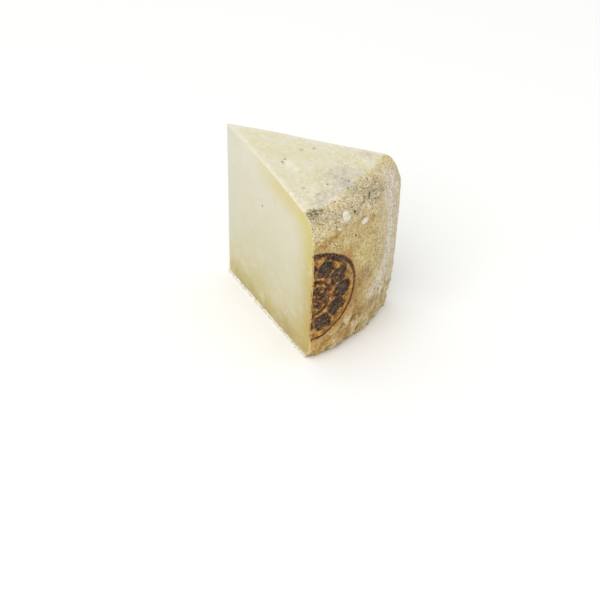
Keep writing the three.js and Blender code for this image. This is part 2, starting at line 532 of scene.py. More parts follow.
AMBER = [  # warm patches on the side
    (-5.5, 92.6, 30.0, 9.0),
    (-5.0, 92.8, 38.0, 7.0),
    (-11.5, 91.4, 17.0, 6.0),
    (-8.6, 92.0, 23.0, 5.0),
    (-7.5, 91.0, 10.0, 5.0),
    (-3.0, 91.6, 20.0, 6.0),
    (-16.5, 90.6, 7.0, 7.5),
    (-21.6, 91.0, 14.0, 3.0),
    (-21.4, 94.4, 73.2, 2.8),
    (-19.4, 94.4, 73.9, 2.6),
    (-17.4, 94.2, 74.7, 2.5),
    (-15.4, 94.0, 75.8, 2.4),
    (-13.4, 93.8, 77.0, 2.2),
    (-10.0, 93.6, 62.0, 6.0),
]
YELLOW = [  # clean yellow patches, without bloom
    (19.6, 86.0, 92.8, 5.0),
    (15.5, 86.5, 92.4, 3.5),
    (9.5, 85.5, 92.0, 3.5),
    (-20.8, 93.4, 80.0, 6.5),
    (-20.4, 92.4, 84.5, 4.0),
    (-17.5, 92.8, 82.5, 4.5),
    (-21.0, 90.6, 8.0, 9.0),
    (-17.5, 90.2, 5.0, 5.0),
    (-6.5, 94.5, 58.0, 7.0),
    (-1.5, 94.8, 50.0, 7.0),
    (0.0, 94.8, 62.0, 5.0),
    (9.8, 49.9, 93.8, 2.5),
    (-12.5, 83.5, 90.8, 3.0),
]
GOLD = [  # the golden foot beside the front cut
    (-21.4, 90.4, 10.0, 5.5),
    (-20.0, 90.0, 5.0, 5.0),
    (-17.4, 90.4, 8.0, 4.0),
    (-15.0, 90.6, 10.0, 2.6),
]
PITTED = [  # the pitted patch between the shoulder and the mark
    (-20.8, 94.4, 76.0, 4.0),
    (-18.4, 94.2, 77.4, 4.0),
    (-21.2, 94.8, 71.0, 4.0),
    (-16.6, 94.2, 73.0, 3.6),
    (-13.6, 94.2, 71.0, 3.2),
]
PALE = [  # pale crusts
    (-19.0, 18.3, 94.2, 1.5),
    (-20.8, 29.5, 94.0, 1.3),
    (-20.6, 43.3, 93.7, 1.6),
    (-20.6, 57.7, 93.1, 1.4),
    (-21.2, 68.6, 92.1, 1.5),
    (-21.0, 83.5, 90.2, 1.6),
    (-8.0, 48.0, 93.2, 3.5),
    (-8.6, 53.5, 93.2, 2.5),
    (-9.5, 84.6, 91.0, 3.0),
    (-13.5, 85.6, 90.4, 2.2),
    (2.0, 92.6, 81.5, 3.5),
    (-20.6, 93.0, 81.0, 5.0),
    (-18.0, 93.0, 81.0, 3.5),
    (-8.0, 91.6, 18.5, 2.4),
    (3.5, 92.2, 24.0, 2.6),
    (8.0, 92.4, 28.0, 3.4),
    (17.5, 91.6, 31.0, 5.0),
    (17.0, 90.6, 14.0, 4.5),
    (-6.0, 91.6, 19.0, 2.4),
    (-3.5, 90.6, 10.5, 2.2),
    (2.5, 90.4, 6.0, 2.8),
    (-12.9, 89.4, 3.4, 3.6),
    (4.5, 90.3, 6.0, 3.0),
    (-4.0, 91.4, 12.5, 2.2),
    (20.0, 91.0, 22.0, 3.0),
    (14.0, 90.0, 4.0, 3.0),
]
BROWN = [  # brown stains
    (-12.8, 93.8, 77.4, 1.8),
    (-21.0, 94.4, 72.8, 2.2),
    (-18.6, 94.4, 73.6, 1.6),
    (-16.2, 94.2, 75.0, 1.5),
    (-14.4, 94.0, 76.4, 1.4),
    (9.8, 91.4, 17.0, 2.8),
    # A brown ring round the second lump of salt: partly a stain, partly painted shadow round the lump.
    (-2.0, 93.8, 77.8, 2.3),
    (-7.0, 91.2, 12.0, 2.0),
    (-6.0, 90.2, 6.0, 2.6),
    (-5.0, 92.9, 81.8, 2.4),
    (2.2, 93.2, 75.6, 2.4),
    (-4.2, 92.9, 39.0, 7.5),
    (-0.6, 92.9, 43.5, 6.0),
    (2.0, 92.9, 39.0, 3.8),
    (-6.0, 92.4, 29.0, 5.5),
    (-3.0, 92.0, 20.5, 5.0),
    (-10.4, 91.4, 15.6, 1.7),
    (-8.4, 91.4, 16.2, 1.6),
    (-6.4, 91.4, 15.4, 1.6),
    (-4.4, 91.3, 14.8, 1.7),
    (-12.0, 91.2, 21.0, 3.0),
    (-16.5, 91.0, 12.0, 3.4),
    (-1.5, 91.2, 17.0, 4.5),
    (6.0, 91.2, 16.5, 3.6),
    (13.5, 91.0, 13.0, 4.5),
    (19.0, 90.4, 8.0, 4.0),
    (0.5, 86.2, 90.4, 2.6),
    (-3.0, 88.6, 89.4, 2.6),
]


def place(azimuth, radius, height):
    """A point given about the wheel's axis, its azimuth in degrees from the wedge's middle line."""
    turn = math.radians(azimuth)
    return np.array([AXIS.x + radius * math.cos(turn), AXIS.y + radius * math.sin(turn), height])


def gathered(points, spots):
    """The strongest of several soft round spots at each point."""
    best = np.zeros(len(points))
    for azimuth, radius, height, size in spots:
        gap = np.linalg.norm(points - place(azimuth, radius, height), axis=1)
        best = np.maximum(best, np.exp(-((gap / size) ** 2)))
    return best


def beyond_border(stations, across, value):
    """How far a value lies beyond a border given by a few stations."""
    stations = np.array(stations, float)
    return value - np.interp(across, stations[:, 0], stations[:, 1])


def wander(points, border):
    """How far a border is moved at each point."""
    reach, size, seed = WANDERING[border]
    return reach * value_noise(points, size, seed)


def rind_fields(points):
    """All the rind's fields by name."""
    x, y, height = points[:, 0] - AXIS.x, points[:, 1] - AXIS.y, points[:, 2]
    radius, azimuth = np.hypot(x, y), np.degrees(np.arctan2(y, x))
    arc = np.radians(azimuth) * ARC_RADIUS
    on_side = smooth_step(*SIDE_RADII, radius)

    # The borders of the top, the shoulder, the band and the bloom, each of which wanders a little.
    past_crown = beyond_border(CROWN_BORDER, azimuth, radius) + wander(points, "top")
    crown = np.where(height > CROWN_LOWEST, 1 - smooth_step(-2.2, 2.2, past_crown), 0)
    above_side = beyond_border(AGED_BORDER, arc, height) + wander(points, "shoulder")
    from_band = arc - np.interp(height, BAND_HEIGHTS, BAND_ARCS)
    from_band += wander(points, "band") + wander(points, "band edge")
    band_width = np.where(from_band < 0, *BAND_WIDTHS)
    above_foot = height - BLOOM_FOOT + 0.35 * np.clip(arc - 8, 0, 20) + wander(points, "bloom")
    bloom = smooth_step(-13.0, 1.0, from_band) * smooth_step(-5, 7, above_foot)
    past_grains = azimuth + wander(points, "grains")
    aged = smooth_step(-5.0, 4.5, above_side) * (1 - crown) * (1 - 0.75 * smooth_step(5, 17, past_grains))

    dark_mould, grey_mould = gathered(points, DARK_MOULD), gathered(points, GREY_MOULD)
    yellow = gathered(points, YELLOW)
    from_mark = np.where(on_side > 0.5, np.hypot(arc - MARK_ARC, height - MARK_HEIGHT), MARK_BEYOND)
    bare = on_side * (1 - crown)
    clear = smooth_step(MARK_RADIUS, MARK_RADIUS + 2, from_mark)
    past_mark = smooth_step(MARK_RADIUS - 1, MARK_RADIUS + 6, from_mark)
    bloomed = bloom * bare * (1 - yellow)
    band = np.exp(-((from_band / band_width) ** 2)) * smooth_step(18, 26, height)
    drips = smooth_step(-4, 4, from_band) * smooth_step(88, 70, height) * smooth_step(0, 8, height)
    low = smooth_step(-40, -10, -height + wander(points, "low side"))
    mould_share = dark_mould + 0.25 * grey_mould + 0.09 * aged + 0.02 * bare * (1 - 0.7 * bloom)
    return {
        "side": bare,
        "mould_share": mould_share * (1 - 0.8 * crown),
        "salt_share": (0.5 * aged * (1 - dark_mould) + 0.02 * bare) * clear,
        "crumb_share": (0.5 * aged + 0.14 * bare) * clear,
        "spot": gathered(points, SPOTS),
        "crown": crown,
        "aged": aged,
        "bloom": bloomed,
        "band": band * bare * (1 - yellow),
        "drips": drips * on_side,
        "low": low * on_side * (0.15 + 0.85 * past_mark),
        "dark_mould": dark_mould,
        "grey_mould": grey_mould,
        "lavender": gathered(points, LAVENDER) * crown,
        "yellow": yellow,
        "gold": gathered(points, GOLD) * on_side,
        "pitted": gathered(points, PITTED) * on_side,
        "pale": gathered(points, PALE),
        "brown": gathered(points, BROWN),
        "amber": gathered(points, AMBER) * on_side,
        "faint_spot": gathered(points, FAINT_SPOTS),
        "mark": np.where(on_side > 0.5, mark_depth(arc, height), -MARK_FAR),
        "from_mark": from_mark,
    }


# ---- the round mark -------------------------------------------------------------------------------------
# A plain burnt roundel: a ring, a wreath of slanting leaves, a thin ring and a rosette of petals.

MARK_ARC = -36.9  # its middle, round the side from the middle line
MARK_HEIGHT = 42.3
MARK_RADIUS = 28.2
MARK_BEYOND = 60.0  # stands for anywhere far from the mark's middle
MARK_FAR = 4.0  # distances from the ink are kept within this
RING_WIDTHS = (0.8, 2.2)  # the ring is burnt broader at the top
SECOND_RING = (25.3, 0.22)  # at the top only: middle radius, half width
RING_GAP = (26.0, 1.0)  # the paler ring of ground inside the ring: middle radius, half width
LEAF_COUNT = 11
LEAF = (19.0, 6.1, 5.2, math.radians(28))  # middle radius, half length, half width, slant
VEIN = 0.25  # half width of the bare vein along each leaf
INNER_RING = (11.2, 0.6)  # radius, half width
PETAL_COUNT = 7
PETAL = (6.0, 4.1, 2.3, 0.0)
DOT = (9.2, 0.9)
CENTRE_DOT = 2.0


def in_sector(turn, count):
    """Each turn brought into one of several equal sectors, measured from the sector's middle."""
    step = 2 * math.pi / count
    return (turn / step + 0.5) % 1 * step - step / 2


def lens_depth(ring, turn, shape):
    """How far inside a pointed oval each point lies."""
    middle, half_length, half_width, slant = shape
    out = ring * np.cos(turn) - middle
    side = ring * np.sin(turn)
    along = out * math.cos(slant) + side * math.sin(slant)
    across = np.abs(side * math.cos(slant) - out * math.sin(slant))
    return np.minimum(half_width * (1 - (along / half_length) ** 2) - across, across - VEIN)


def mark_depth(arc, height):
    """How far inside the mark's ink each point lies, in millimetres, and less than 0 outside it."""
    ring = np.hypot(arc - MARK_ARC, height - MARK_HEIGHT)
    turn = np.arctan2(height - MARK_HEIGHT, arc - MARK_ARC)
    half = np.interp(np.sin(turn), (0.3, 0.8), RING_WIDTHS) / 2
    second_half = np.interp(np.sin(turn), (0.4, 0.7), (-1, SECOND_RING[1]))
    between_petals = in_sector(turn + math.pi / PETAL_COUNT, PETAL_COUNT)
    shapes = (
        half - np.abs(ring - (MARK_RADIUS - half)),
        second_half - np.abs(ring - SECOND_RING[0]),
        lens_depth(ring, in_sector(turn, LEAF_COUNT), LEAF),
        INNER_RING[1] - np.abs(ring - INNER_RING[0]),
        lens_depth(ring, in_sector(turn, PETAL_COUNT), PETAL),
        DOT[1] - np.hypot(ring * np.cos(between_petals) - DOT[0], ring * np.sin(between_petals)),
        CENTRE_DOT - ring,
    )
    return np.clip(np.max(shapes, axis=0), -MARK_FAR, MARK_FAR)


# ---- the body's mesh ------------------------------------------------------------------------------------


def closed_mesh(name, surface):
    """The surface as a mesh in metres whose faces all point outwards."""
    mesh = bpy.data.meshes.new(name)
    mesh.from_pydata([Vector(p) * MM for p in surface.points], [], surface.faces)
    shell = bmesh.new()
    shell.from_mesh(mesh)
    bmesh.ops.recalc_face_normals(shell, faces=shell.faces)
    shell.to_mesh(mesh)
    shell.free()
    return mesh


def add_values(mesh, name, kind, values, domain="POINT"):
    """A named value for each point or face of a mesh."""
    data = mesh.attributes.new(name, kind, domain).data
    if kind == "FLOAT_VECTOR":
        data.foreach_set("vector", np.asarray(values, np.float32).ravel())
    else:
        data.foreach_set("value", np.asarray(values, bool if kind == "BOOLEAN" else np.float32))


def face_sums(mesh, chosen):
    """At each point the sum of the chosen faces' normals, each as long as its face is large."""
    total = np.zeros((len(mesh.vertices), 3))
    for polygon in mesh.polygons:
        if chosen[polygon.index]:
            total[list(polygon.vertices)] += np.array(polygon.normal) * polygon.area
    return total


def unit(vectors):
    """The vectors at length 1, and those without a length left as they are."""
    return vectors / np.maximum(np.linalg.norm(vectors, axis=1), 1e-15)[:, None]


def path_gap(points, path):
    """How far each flat point is from an open path, and the path's place nearest to it."""
    side = np.diff(path, axis=0)
    length = np.maximum((side**2).sum(1), 1e-12)
    gap, found = np.zeros(len(points)), np.zeros((len(points), 2))
    for start in range(0, len(points), BLOCK):
        block = points[start : start + BLOCK, None, :]
        share = np.clip(((block - path[:-1]) * side).sum(2) / length, 0, 1)
        places = path[:-1] + share[..., None] * side
        gaps = np.sqrt(((block - places) ** 2).sum(2))
        best = gaps.argmin(1)
        rows = np.arange(len(best))
        gap[start : start + BLOCK] = gaps[rows, best]
        found[start : start + BLOCK] = places[rows, best]
    return gap, found


def edge_gaps(points):
    """How far each point lies from the nearer cut's plane."""
    from_corner = points - np.array([*PLAN_CORNER, 0])
    return np.min([-(from_corner @ cut_normal(side)) for side in (-1, 1)], axis=0)


def pit_depths(points):
    """How far the pits draw the paste in."""
    depth = np.zeros(len(points))
    for side, pits in PITS.items():
        for along, height, size in pits:
            centre = np.array([*on_cut(side, along), height])
            gap = np.linalg.norm(points - centre, axis=1)
            depth = np.maximum(depth, size * PIT_DEPTH * smooth_step(-1.15, -0.35, -gap / size))
    return depth


RELIEF_REACH = 5.0  # how deep in a cut the paste still follows the rind's outline
EASED_REACH = 0.3  # how far from a knife edge the skin is eased
HEEL_ALONG = 86.0  # the rind's outline in a cut counts as the side this far along the cut


def outward_ways(surface, mesh):
    """At each point which way the rind and the cuts face, and whether it lies in the paste alone."""
    paste_faces = np.array(surface.is_paste)
    skin_out = face_sums(mesh, ~paste_faces)
    cut_out = face_sums(mesh, paste_faces)
    in_paste = np.abs(skin_out).sum(1) == 0
    cut_out[~in_paste] = 0
    for side, ids in surface.knife_edges.items():
        skin_out[ids] -= (skin_out[ids] @ cut_normal(side))[:, None] * cut_normal(side)
    skin_out[surface.foot, 2] = 0
    skin_out[surface.underside] = 0
    cut_out[surface.underside] = (0, 0, -1)
    return skin_out, cut_out, in_paste


def body_mesh():
    """The wedge before its relief, with a number or a direction at each point for every field."""
    surface = build_surface()
    points = np.array(surface.points)
    mesh = closed_mesh("cheese_body", surface)
    skin_out, cut_out, in_paste = outward_ways(surface, mesh)

    depth = np.zeros(len(points))
    heel_depth = np.zeros(len(points))
    for side, path in surface.rind_paths.items():
        mine = in_paste & ((points[:, 1] - AXIS.y) * side > 0)
        away = points[mine, :2] - PLAN_CORNER
        flat = np.stack([np.hypot(*away.T), points[mine, 2]], 1)
        gap, nearest_place = path_gap(flat, path)
        toward = (nearest_place - flat) / np.maximum(gap, 1e-9)[:, None]
        depth[mine] = gap
        heel_depth[mine] = path_gap(flat, path[path[:, 0] > HEEL_ALONG])[0]
        along, up = np.array([*cut_direction(side), 0]), np.array([0, 0, 1])
        skin_out[mine] = toward[:, :1] * along + toward[:, 1:] * up
    near_rind = smooth_step(-RELIEF_REACH, 0, -depth) * smooth_step(0, 3, points[:, 2])

    x, y = points[:, 0] - AXIS.x, points[:, 1] - AXIS.y
    arc, radius = np.arctan2(y, x) * ARC_RADIUS, np.hypot(x, y)
    edge_gap = edge_gaps(points)
    fields = rind_fields(points)
    for name in ("mould_share", "salt_share", "crumb_share"):
        fields[name] = np.where(in_paste, 0, fields[name])
    fields |= {
        "skin": np.ones(len(points)),
        "follow": np.where(in_paste, near_rind, 1),
        "rind_depth": depth,
        "heel_depth": heel_depth,
        "edge_gap": np.where(in_paste, 0, edge_gap),
        "knife_edge": smooth_step(-EASED_REACH, 0, -np.where(in_paste, depth, edge_gap)),
        "pit": np.where(in_paste, pit_depths(points), 0),
        "from_middle": radius,
    }
    for name, values in fields.items():
        add_values(mesh, name, "FLOAT", values)
    add_values(mesh, "chart", "FLOAT_VECTOR", np.stack([arc, points[:, 2], radius], 1))
    add_values(mesh, "skin_out", "FLOAT_VECTOR", unit(skin_out))
    add_values(mesh, "cut_out", "FLOAT_VECTOR", unit(cut_out))
    add_values(mesh, "rind_face", "BOOLEAN", ~np.array(surface.is_paste), "FACE")
    return mesh


# ---- wiring nodes ---------------------------------------------------------------------------------------


class Wiring:
    """Adds nodes to a tree. A socket is given by name or identifier, and takes a value or an output."""

    def __init__(self, tree):
        self.tree = tree

    def add(self, kind, sockets=None, **settings):
        node = self.tree.nodes.new(kind)
        for name, value in settings.items():
            setattr(node, name, value)
        for name, value in (sockets or {}).items():
            self.feed(node, name, value)
        return node

    def feed(self, node, name, value):
        """Links or sets a socket. An identifier goes before a name that several sockets share."""
        sockets = [socket for socket in node.inputs if socket.enabled]
        named = [socket for socket in sockets if name in (socket.identifier, socket.name)]
        exact = [socket for socket in named if socket.identifier == name]
        socket = (exact or named)[0]
        if isinstance(value, bpy.types.NodeSocket):
            self.tree.links.new(value, socket)
        else:
            socket.default_value = value

    def get(self, kind, sockets=None, **settings):
        """The first output of a new node."""
        node = self.add(kind, sockets, **settings)
        return next(output for output in node.outputs if output.enabled)

    def math(self, operation, first, second=None):
        sockets = {"Value": first} if second is None else {"Value": first, "Value_001": second}
        return self.get("ShaderNodeMath", sockets, operation=operation)

    def times(self, first, second):
        return self.math("MULTIPLY", first, second)

    def plus(self, first, second):
        return self.math("ADD", first, second)

    def minus(self, first, second):
        return self.math("SUBTRACT", first, second)

    def vector(self, operation, first, second):
        name = "Scale" if operation == "SCALE" else "Vector_001"
        return self.get("ShaderNodeVectorMath", {"Vector": first, name: second}, operation=operation)

    def slope(self, value, low, high):
        """0 at low and 1 at high, with an eased slope between them."""
        sockets = {"Value": value, "From Min": low, "From Max": high}
        return self.get("ShaderNodeMapRange", sockets, interpolation_type="SMOOTHSTEP")

    def noise(self, position, size, detail=3.0, roughness=0.5):
        """Noise from 0 to 1, with swells as wide as size, in the position's own units."""
        scale = self.math("DIVIDE", 1.0, size) if isinstance(size, bpy.types.NodeSocket) else 1.0 / size
        sockets = {"Vector": position, "Scale": scale, "Detail": detail, "Roughness": roughness}
        return self.get("ShaderNodeTexNoise", sockets)

    def mix(self, factor, first, second, blend="MIX"):
        sockets = {"Factor_Float": factor, "A_Color": first, "B_Color": second}
        return self.get("ShaderNodeMix", sockets, data_type="RGBA", blend_type=blend)


def new_tree(kind, name, inputs, outputs=(("Geometry", "Geometry"),)):
    """A tree with named sockets. Each is a name, a kind and, for an input, its usual value."""
    tree = bpy.data.node_groups.new(name, kind)
    for label, socket_kind, *usual in inputs:
        socket = tree.interface.new_socket(label, in_out="INPUT", socket_type="NodeSocket" + socket_kind)
        if usual:
            socket.default_value = usual[0]
    for label, socket_kind in outputs:
        tree.interface.new_socket(label, in_out="OUTPUT", socket_type="NodeSocket" + socket_kind)
    wiring = Wiring(tree)
    taken = wiring.add("NodeGroupInput").outputs
    given = wiring.add("NodeGroupOutput")
    return tree, wiring, taken, given


def run_tree(name, mesh, tree, settings):
    """The plain mesh that a tree of geometry nodes makes out of a mesh."""
    source = new_object(name + "_source", mesh)
    modifier = source.modifiers.new("tree", "NODES")
    modifier.node_group = tree
    for item in tree.interface.items_tree:
        if item.in_out == "INPUT" and item.name in settings:
            modifier[item.identifier] = settings[item.name]
    depsgraph = bpy.context.evaluated_depsgraph_get()
    made = bpy.data.meshes.new_from_object(
        source.evaluated_get(depsgraph), preserve_all_data_layers=True, depsgraph=depsgraph
    )
    made.name = name
    bpy.data.objects.remove(source)
    return made


def kept_inside(mesh):
    """The mesh with every point brought inside the solid's own box."""
    count = len(mesh.vertices)
    corners = np.zeros(count * 3, np.float32)
    mesh.vertices.foreach_get("co", corners)
    corners = np.clip(corners.reshape(count, 3), np.array(cad_low), np.array(cad_high))
    mesh.vertices.foreach_set("co", corners.ravel())
    mesh.update()
    return mesh


def finish_tree(wiring, given, geometry, material):
    """Ends a tree of geometry nodes: smooth shading, real geometry, and its material."""
    smooth = wiring.get("GeometryNodeSetShadeSmooth", {"Geometry": geometry})
    real = wiring.get("GeometryNodeRealizeInstances", {"Geometry": smooth})
    dressed = wiring.get("GeometryNodeSetMaterial", {"Geometry": real, "Material": material})
    wiring.feed(given, "Geometry", dressed)


NOISE_MIDDLE = (0.5, 0.5, 0.5)  # the mean of a noise's colour


def shaken(wiring, geometry, height, size):
    """The geometry with its points moved about by noise, in metres."""
    position = wiring.get("GeometryNodeInputPosition")
    noise = wiring.add("ShaderNodeTexNoise", {"Vector": position, "Scale": wiring.math("DIVIDE", 1.0, size)})
    middle = wiring.vector("SUBTRACT", noise.outputs["Color"], NOISE_MIDDLE)
    offset = wiring.vector("SCALE", middle, height)
    return wiring.get("GeometryNodeSetPosition", {"Geometry": geometry, "Offset": offset})


# ---- relief ---------------------------------------------------------------------------------------------
# Each kind of relief on the rind: its name, the field it follows, its height, the size of its swells round
# the side and up it, and how far they lean, in degrees.

RELIEF_BIAS = 0.52  # noise above this stands out of the solid, and below it sinks in
KNIFE_TRACE = (0.05, 0.4, 0.4)  # swells for each millimetre round the wheel, up and outwards
KNIFE_BIAS = 0.8  # the trace lies almost wholly inside the solid
RELIEF = [
    ("Swell", "skin", 0.5, 13.0, 13.0, 0),
    ("Grain", "aged", 0.55, 1.9, 1.6, 0),
    ("Ridge", "low", 4.4, 4.2, 9.5, 42),
    ("Clump", "low", 2.8, 3.0, 4.4, 25),
    ("Drip", "drips", 1.6, 2.7, 22.0, 4),
    ("Pore", "side", 0.3, 1.3, 1.6, 0),
    ("Brushing", "crown", 0.2, 2.4, 2.4, 0),
]


def named(wiring, name, kind="FLOAT"):
    """A field of the mesh by its name."""
    return wiring.get("GeometryNodeInputNamedAttribute", {"Name": name}, data_type=kind)


def relief_inputs():
    """The sockets of the relief: the size, height and lean of each kind, and what the whole skin takes."""
    inputs = [("Geometry", "Geometry")]
    for label, _, height, width, length, lean in RELIEF:
        inputs += [
            (label + " Height", "Float", height),
            (label + " Size", "Vector", (width, length, width)),
            (label + " Lean", "Float", math.radians(lean)),
        ]
    return inputs + [
        ("Mark Depth", "Float", 0.6),
        ("Paste Grain Height", "Float", 0.09),
        ("Edge Easing", "Int", 2),
        ("Paste Material", "Material"),
        ("Rind Material", "Material"),
    ]


def rind_lift(wiring, taken):
    """How far the rind stands out, in millimetres: every kind of relief, less the pressed mark."""
    chart = named(wiring, "chart", "FLOAT_VECTOR")
    total = 0.0
    for label, follows, *_ in RELIEF:
        leaning = wiring.get("ShaderNodeVectorRotate", {"Vector": chart, "Angle": taken[label + " Lean"]})
        swell = wiring.noise(wiring.vector("DIVIDE", leaning, taken[label + " Size"]), 1.0, 2.5)
        lifted = wiring.times(wiring.minus(swell, RELIEF_BIAS), taken[label + " Height"])
        total = wiring.plus(total, wiring.times(lifted, named(wiring, follows)))
    inked = wiring.slope(named(wiring, "mark"), -0.3, 0.4)
    pressed = wiring.times(inked, wiring.plus(0.4, wiring.noise(chart, 1.3)))
    return wiring.minus(total, wiring.times(pressed, taken["Mark Depth"]))


def paste_lift(wiring, taken):
    """How far the paste stands out, in millimetres: the faint trace of the knife, less the pits."""
    chart = named(wiring, "chart", "FLOAT_VECTOR")
    knife = wiring.noise(wiring.vector("MULTIPLY", chart, KNIFE_TRACE), 1.0)
    traced = wiring.times(wiring.minus(knife, KNIFE_BIAS), taken["Paste Grain Height"])
    return wiring.minus(traced, named(wiring, "pit"))


def relief_tree():
    """Sinks and raises the skin by its fields, eases the knife edges and sets the two materials."""
    tree, wiring, taken, given = new_tree("GeometryNodeTree", "cheese relief", relief_inputs())
    lift = rind_lift(wiring, taken)
    sockets = {"Geometry": taken["Geometry"], "Name": "lift", "Value": lift}
    noted = wiring.get("GeometryNodeStoreNamedAttribute", sockets, data_type="FLOAT", domain="POINT")
    followed = wiring.times(lift, named(wiring, "follow"))
    skin = wiring.vector("SCALE", named(wiring, "skin_out", "FLOAT_VECTOR"), followed)
    paste = wiring.vector("SCALE", named(wiring, "cut_out", "FLOAT_VECTOR"), paste_lift(wiring, taken))
    offset = wiring.vector("SCALE", wiring.vector("ADD", skin, paste), MM)
    moved = wiring.get("GeometryNodeSetPosition", {"Geometry": noted, "Offset": offset})

    sockets = {
        "Value": wiring.get("GeometryNodeInputPosition"),
        "Iterations": taken["Edge Easing"],
        "Weight": named(wiring, "knife_edge"),
    }
    eased = wiring.get("GeometryNodeBlurAttribute", sockets, data_type="FLOAT_VECTOR")
    eased = wiring.get("GeometryNodeSetPosition", {"Geometry": moved, "Position": eased})
    sockets = {
        "Geometry": wiring.get("GeometryNodeRealizeInstances", {"Geometry": eased}),
        "Material": taken["Paste Material"],
    }
    pasted = wiring.get("GeometryNodeSetMaterial", sockets)
    sockets = {
        "Geometry": wiring.get("GeometryNodeSetShadeSmooth", {"Geometry": pasted}),
        "Material": taken["Rind Material"],
        "Selection": named(wiring, "rind_face", "BOOLEAN"),
    }
    wiring.feed(given, "Geometry", wiring.get("GeometryNodeSetMaterial", sockets))
    return tree


# ---- scattered grains and the lip -----------------------------------------------------------------------

GRAIN_RARITY = 2.2  # the higher, the rarer are grains near the largest size
GRAIN_WIDTH = 0.75  # as a share of a grain's length
GRAIN_UNEVENNESS = 0.8  # as a share of the largest size


def random_value(wiring, high, seed):
    """A random number from 0 to high for each grain."""
    sockets = {"Min": 0.0, "Max": high, "Seed": seed}
    return wiring.get("FunctionNodeRandomValue", sockets, data_type="FLOAT")


def scatter_tree():
    """Small uneven grains, scattered over a skin as densely as one of its fields says."""
    inputs = [
        ("Geometry", "Geometry"),
        ("Field", "String"),
        ("Density", "Float", 1e6),
        ("Smallest", "Float", 0.1 * MM),
        ("Largest", "Float", 0.3 * MM),
        ("Flatness", "Float", 0.6),
        ("Seed", "Int", 1),
        ("Material", "Material"),
    ]
    tree, wiring, taken, given = new_tree("GeometryNodeTree", "scattered grains", inputs)
    sockets = {
        "Mesh": taken["Geometry"],
        "Density": wiring.times(taken["Density"], named(wiring, taken["Field"])),
        "Seed": taken["Seed"],
    }
    spread = wiring.add("GeometryNodeDistributePointsOnFaces", sockets, distribute_method="RANDOM")
    chance = wiring.math("POWER", random_value(wiring, 1.0, taken["Seed"]), GRAIN_RARITY)
    span = wiring.minus(taken["Largest"], taken["Smallest"])
    size = wiring.plus(taken["Smallest"], wiring.times(chance, span))
    flat = wiring.get("ShaderNodeCombineXYZ", {"X": 1.0, "Y": GRAIN_WIDTH, "Z": taken["Flatness"]})
    turn = wiring.get("ShaderNodeCombineXYZ", {"Z": random_value(wiring, 2 * math.pi, taken["Seed"])})
    turn = wiring.get("FunctionNodeEulerToRotation", {"Euler": turn})
    sockets = {"Rotation": spread.outputs["Rotation"], "Rotate By": turn}
    facing = wiring.get("FunctionNodeRotateRotation", sockets, rotation_space="LOCAL")
    sockets = {
        "Points": spread.outputs["Points"],
        "Instance": wiring.get("GeometryNodeMeshIcoSphere", {"Radius": 1.0, "Subdivisions": 1}),
        "Rotation": facing,
        "Scale": wiring.vector("SCALE", flat, size),
    }
    grains = wiring.get("GeometryNodeInstanceOnPoints", sockets)
    grains = wiring.get("GeometryNodeRealizeInstances", {"Geometry": grains})
    unevenness = wiring.times(taken["Largest"], GRAIN_UNEVENNESS)
    uneven = shaken(wiring, grains, unevenness, taken["Largest"])
    finish_tree(wiring, given, uneven, taken["Material"])
    return tree


LIP_STEP = 0.45
LIP_ENDS = (2.0, 0.6)  # how far each run stays from the cuts' corner, and from the rind
LIP_HEIGHT = 0.55  # of the middle of the lip
LIP_OFFSET = 0.05  # of its middle, out of the cut
LIP_HALF_WIDTH = 0.8
LIP_HALF_HEIGHT = 0.72
LIP_THICKNESS = 1.05  # as a share of the half width and height
TIP_THICKNESS = 0.8
LIP_NOTCHES = {-1: (31.0, 39.5, 52.0, 63.0, 73.0, 80.0), 1: (22.0, 35.5, 47.0, 58.0, 77.0)}
NOTCH_DEPTH = 0.6  # of the thickness
NOTCH_WIDTH = 0.9


def lip_path():
    """The middle of the lip, from the front heel round the thin edge to the back heel, and its thickness."""
    stops = []
    for side in (-1, 1):
        reach = foot_reach(side * HALF_ANGLE) - LIP_ENDS[1]
        run = np.arange(LIP_ENDS[0], reach, LIP_STEP)
        for along in (run[::-1] if side < 0 else run):
            from_notches = [(along - notch) / NOTCH_WIDTH for notch in LIP_NOTCHES[side]]
            thickness = LIP_THICKNESS - sum(NOTCH_DEPTH * math.exp(-(gap**2)) for gap in from_notches)
            plan = on_cut(side, along) + cut_normal(side)[:2] * LIP_OFFSET
            stops.append((*plan, LIP_HEIGHT, thickness))
        if side < 0:
            tip = AXIS.x - LIP_TIP_REACH + LIP_HALF_WIDTH
            stops.append((tip, AXIS.y, LIP_HEIGHT, TIP_THICKNESS))
    return np.array(stops)


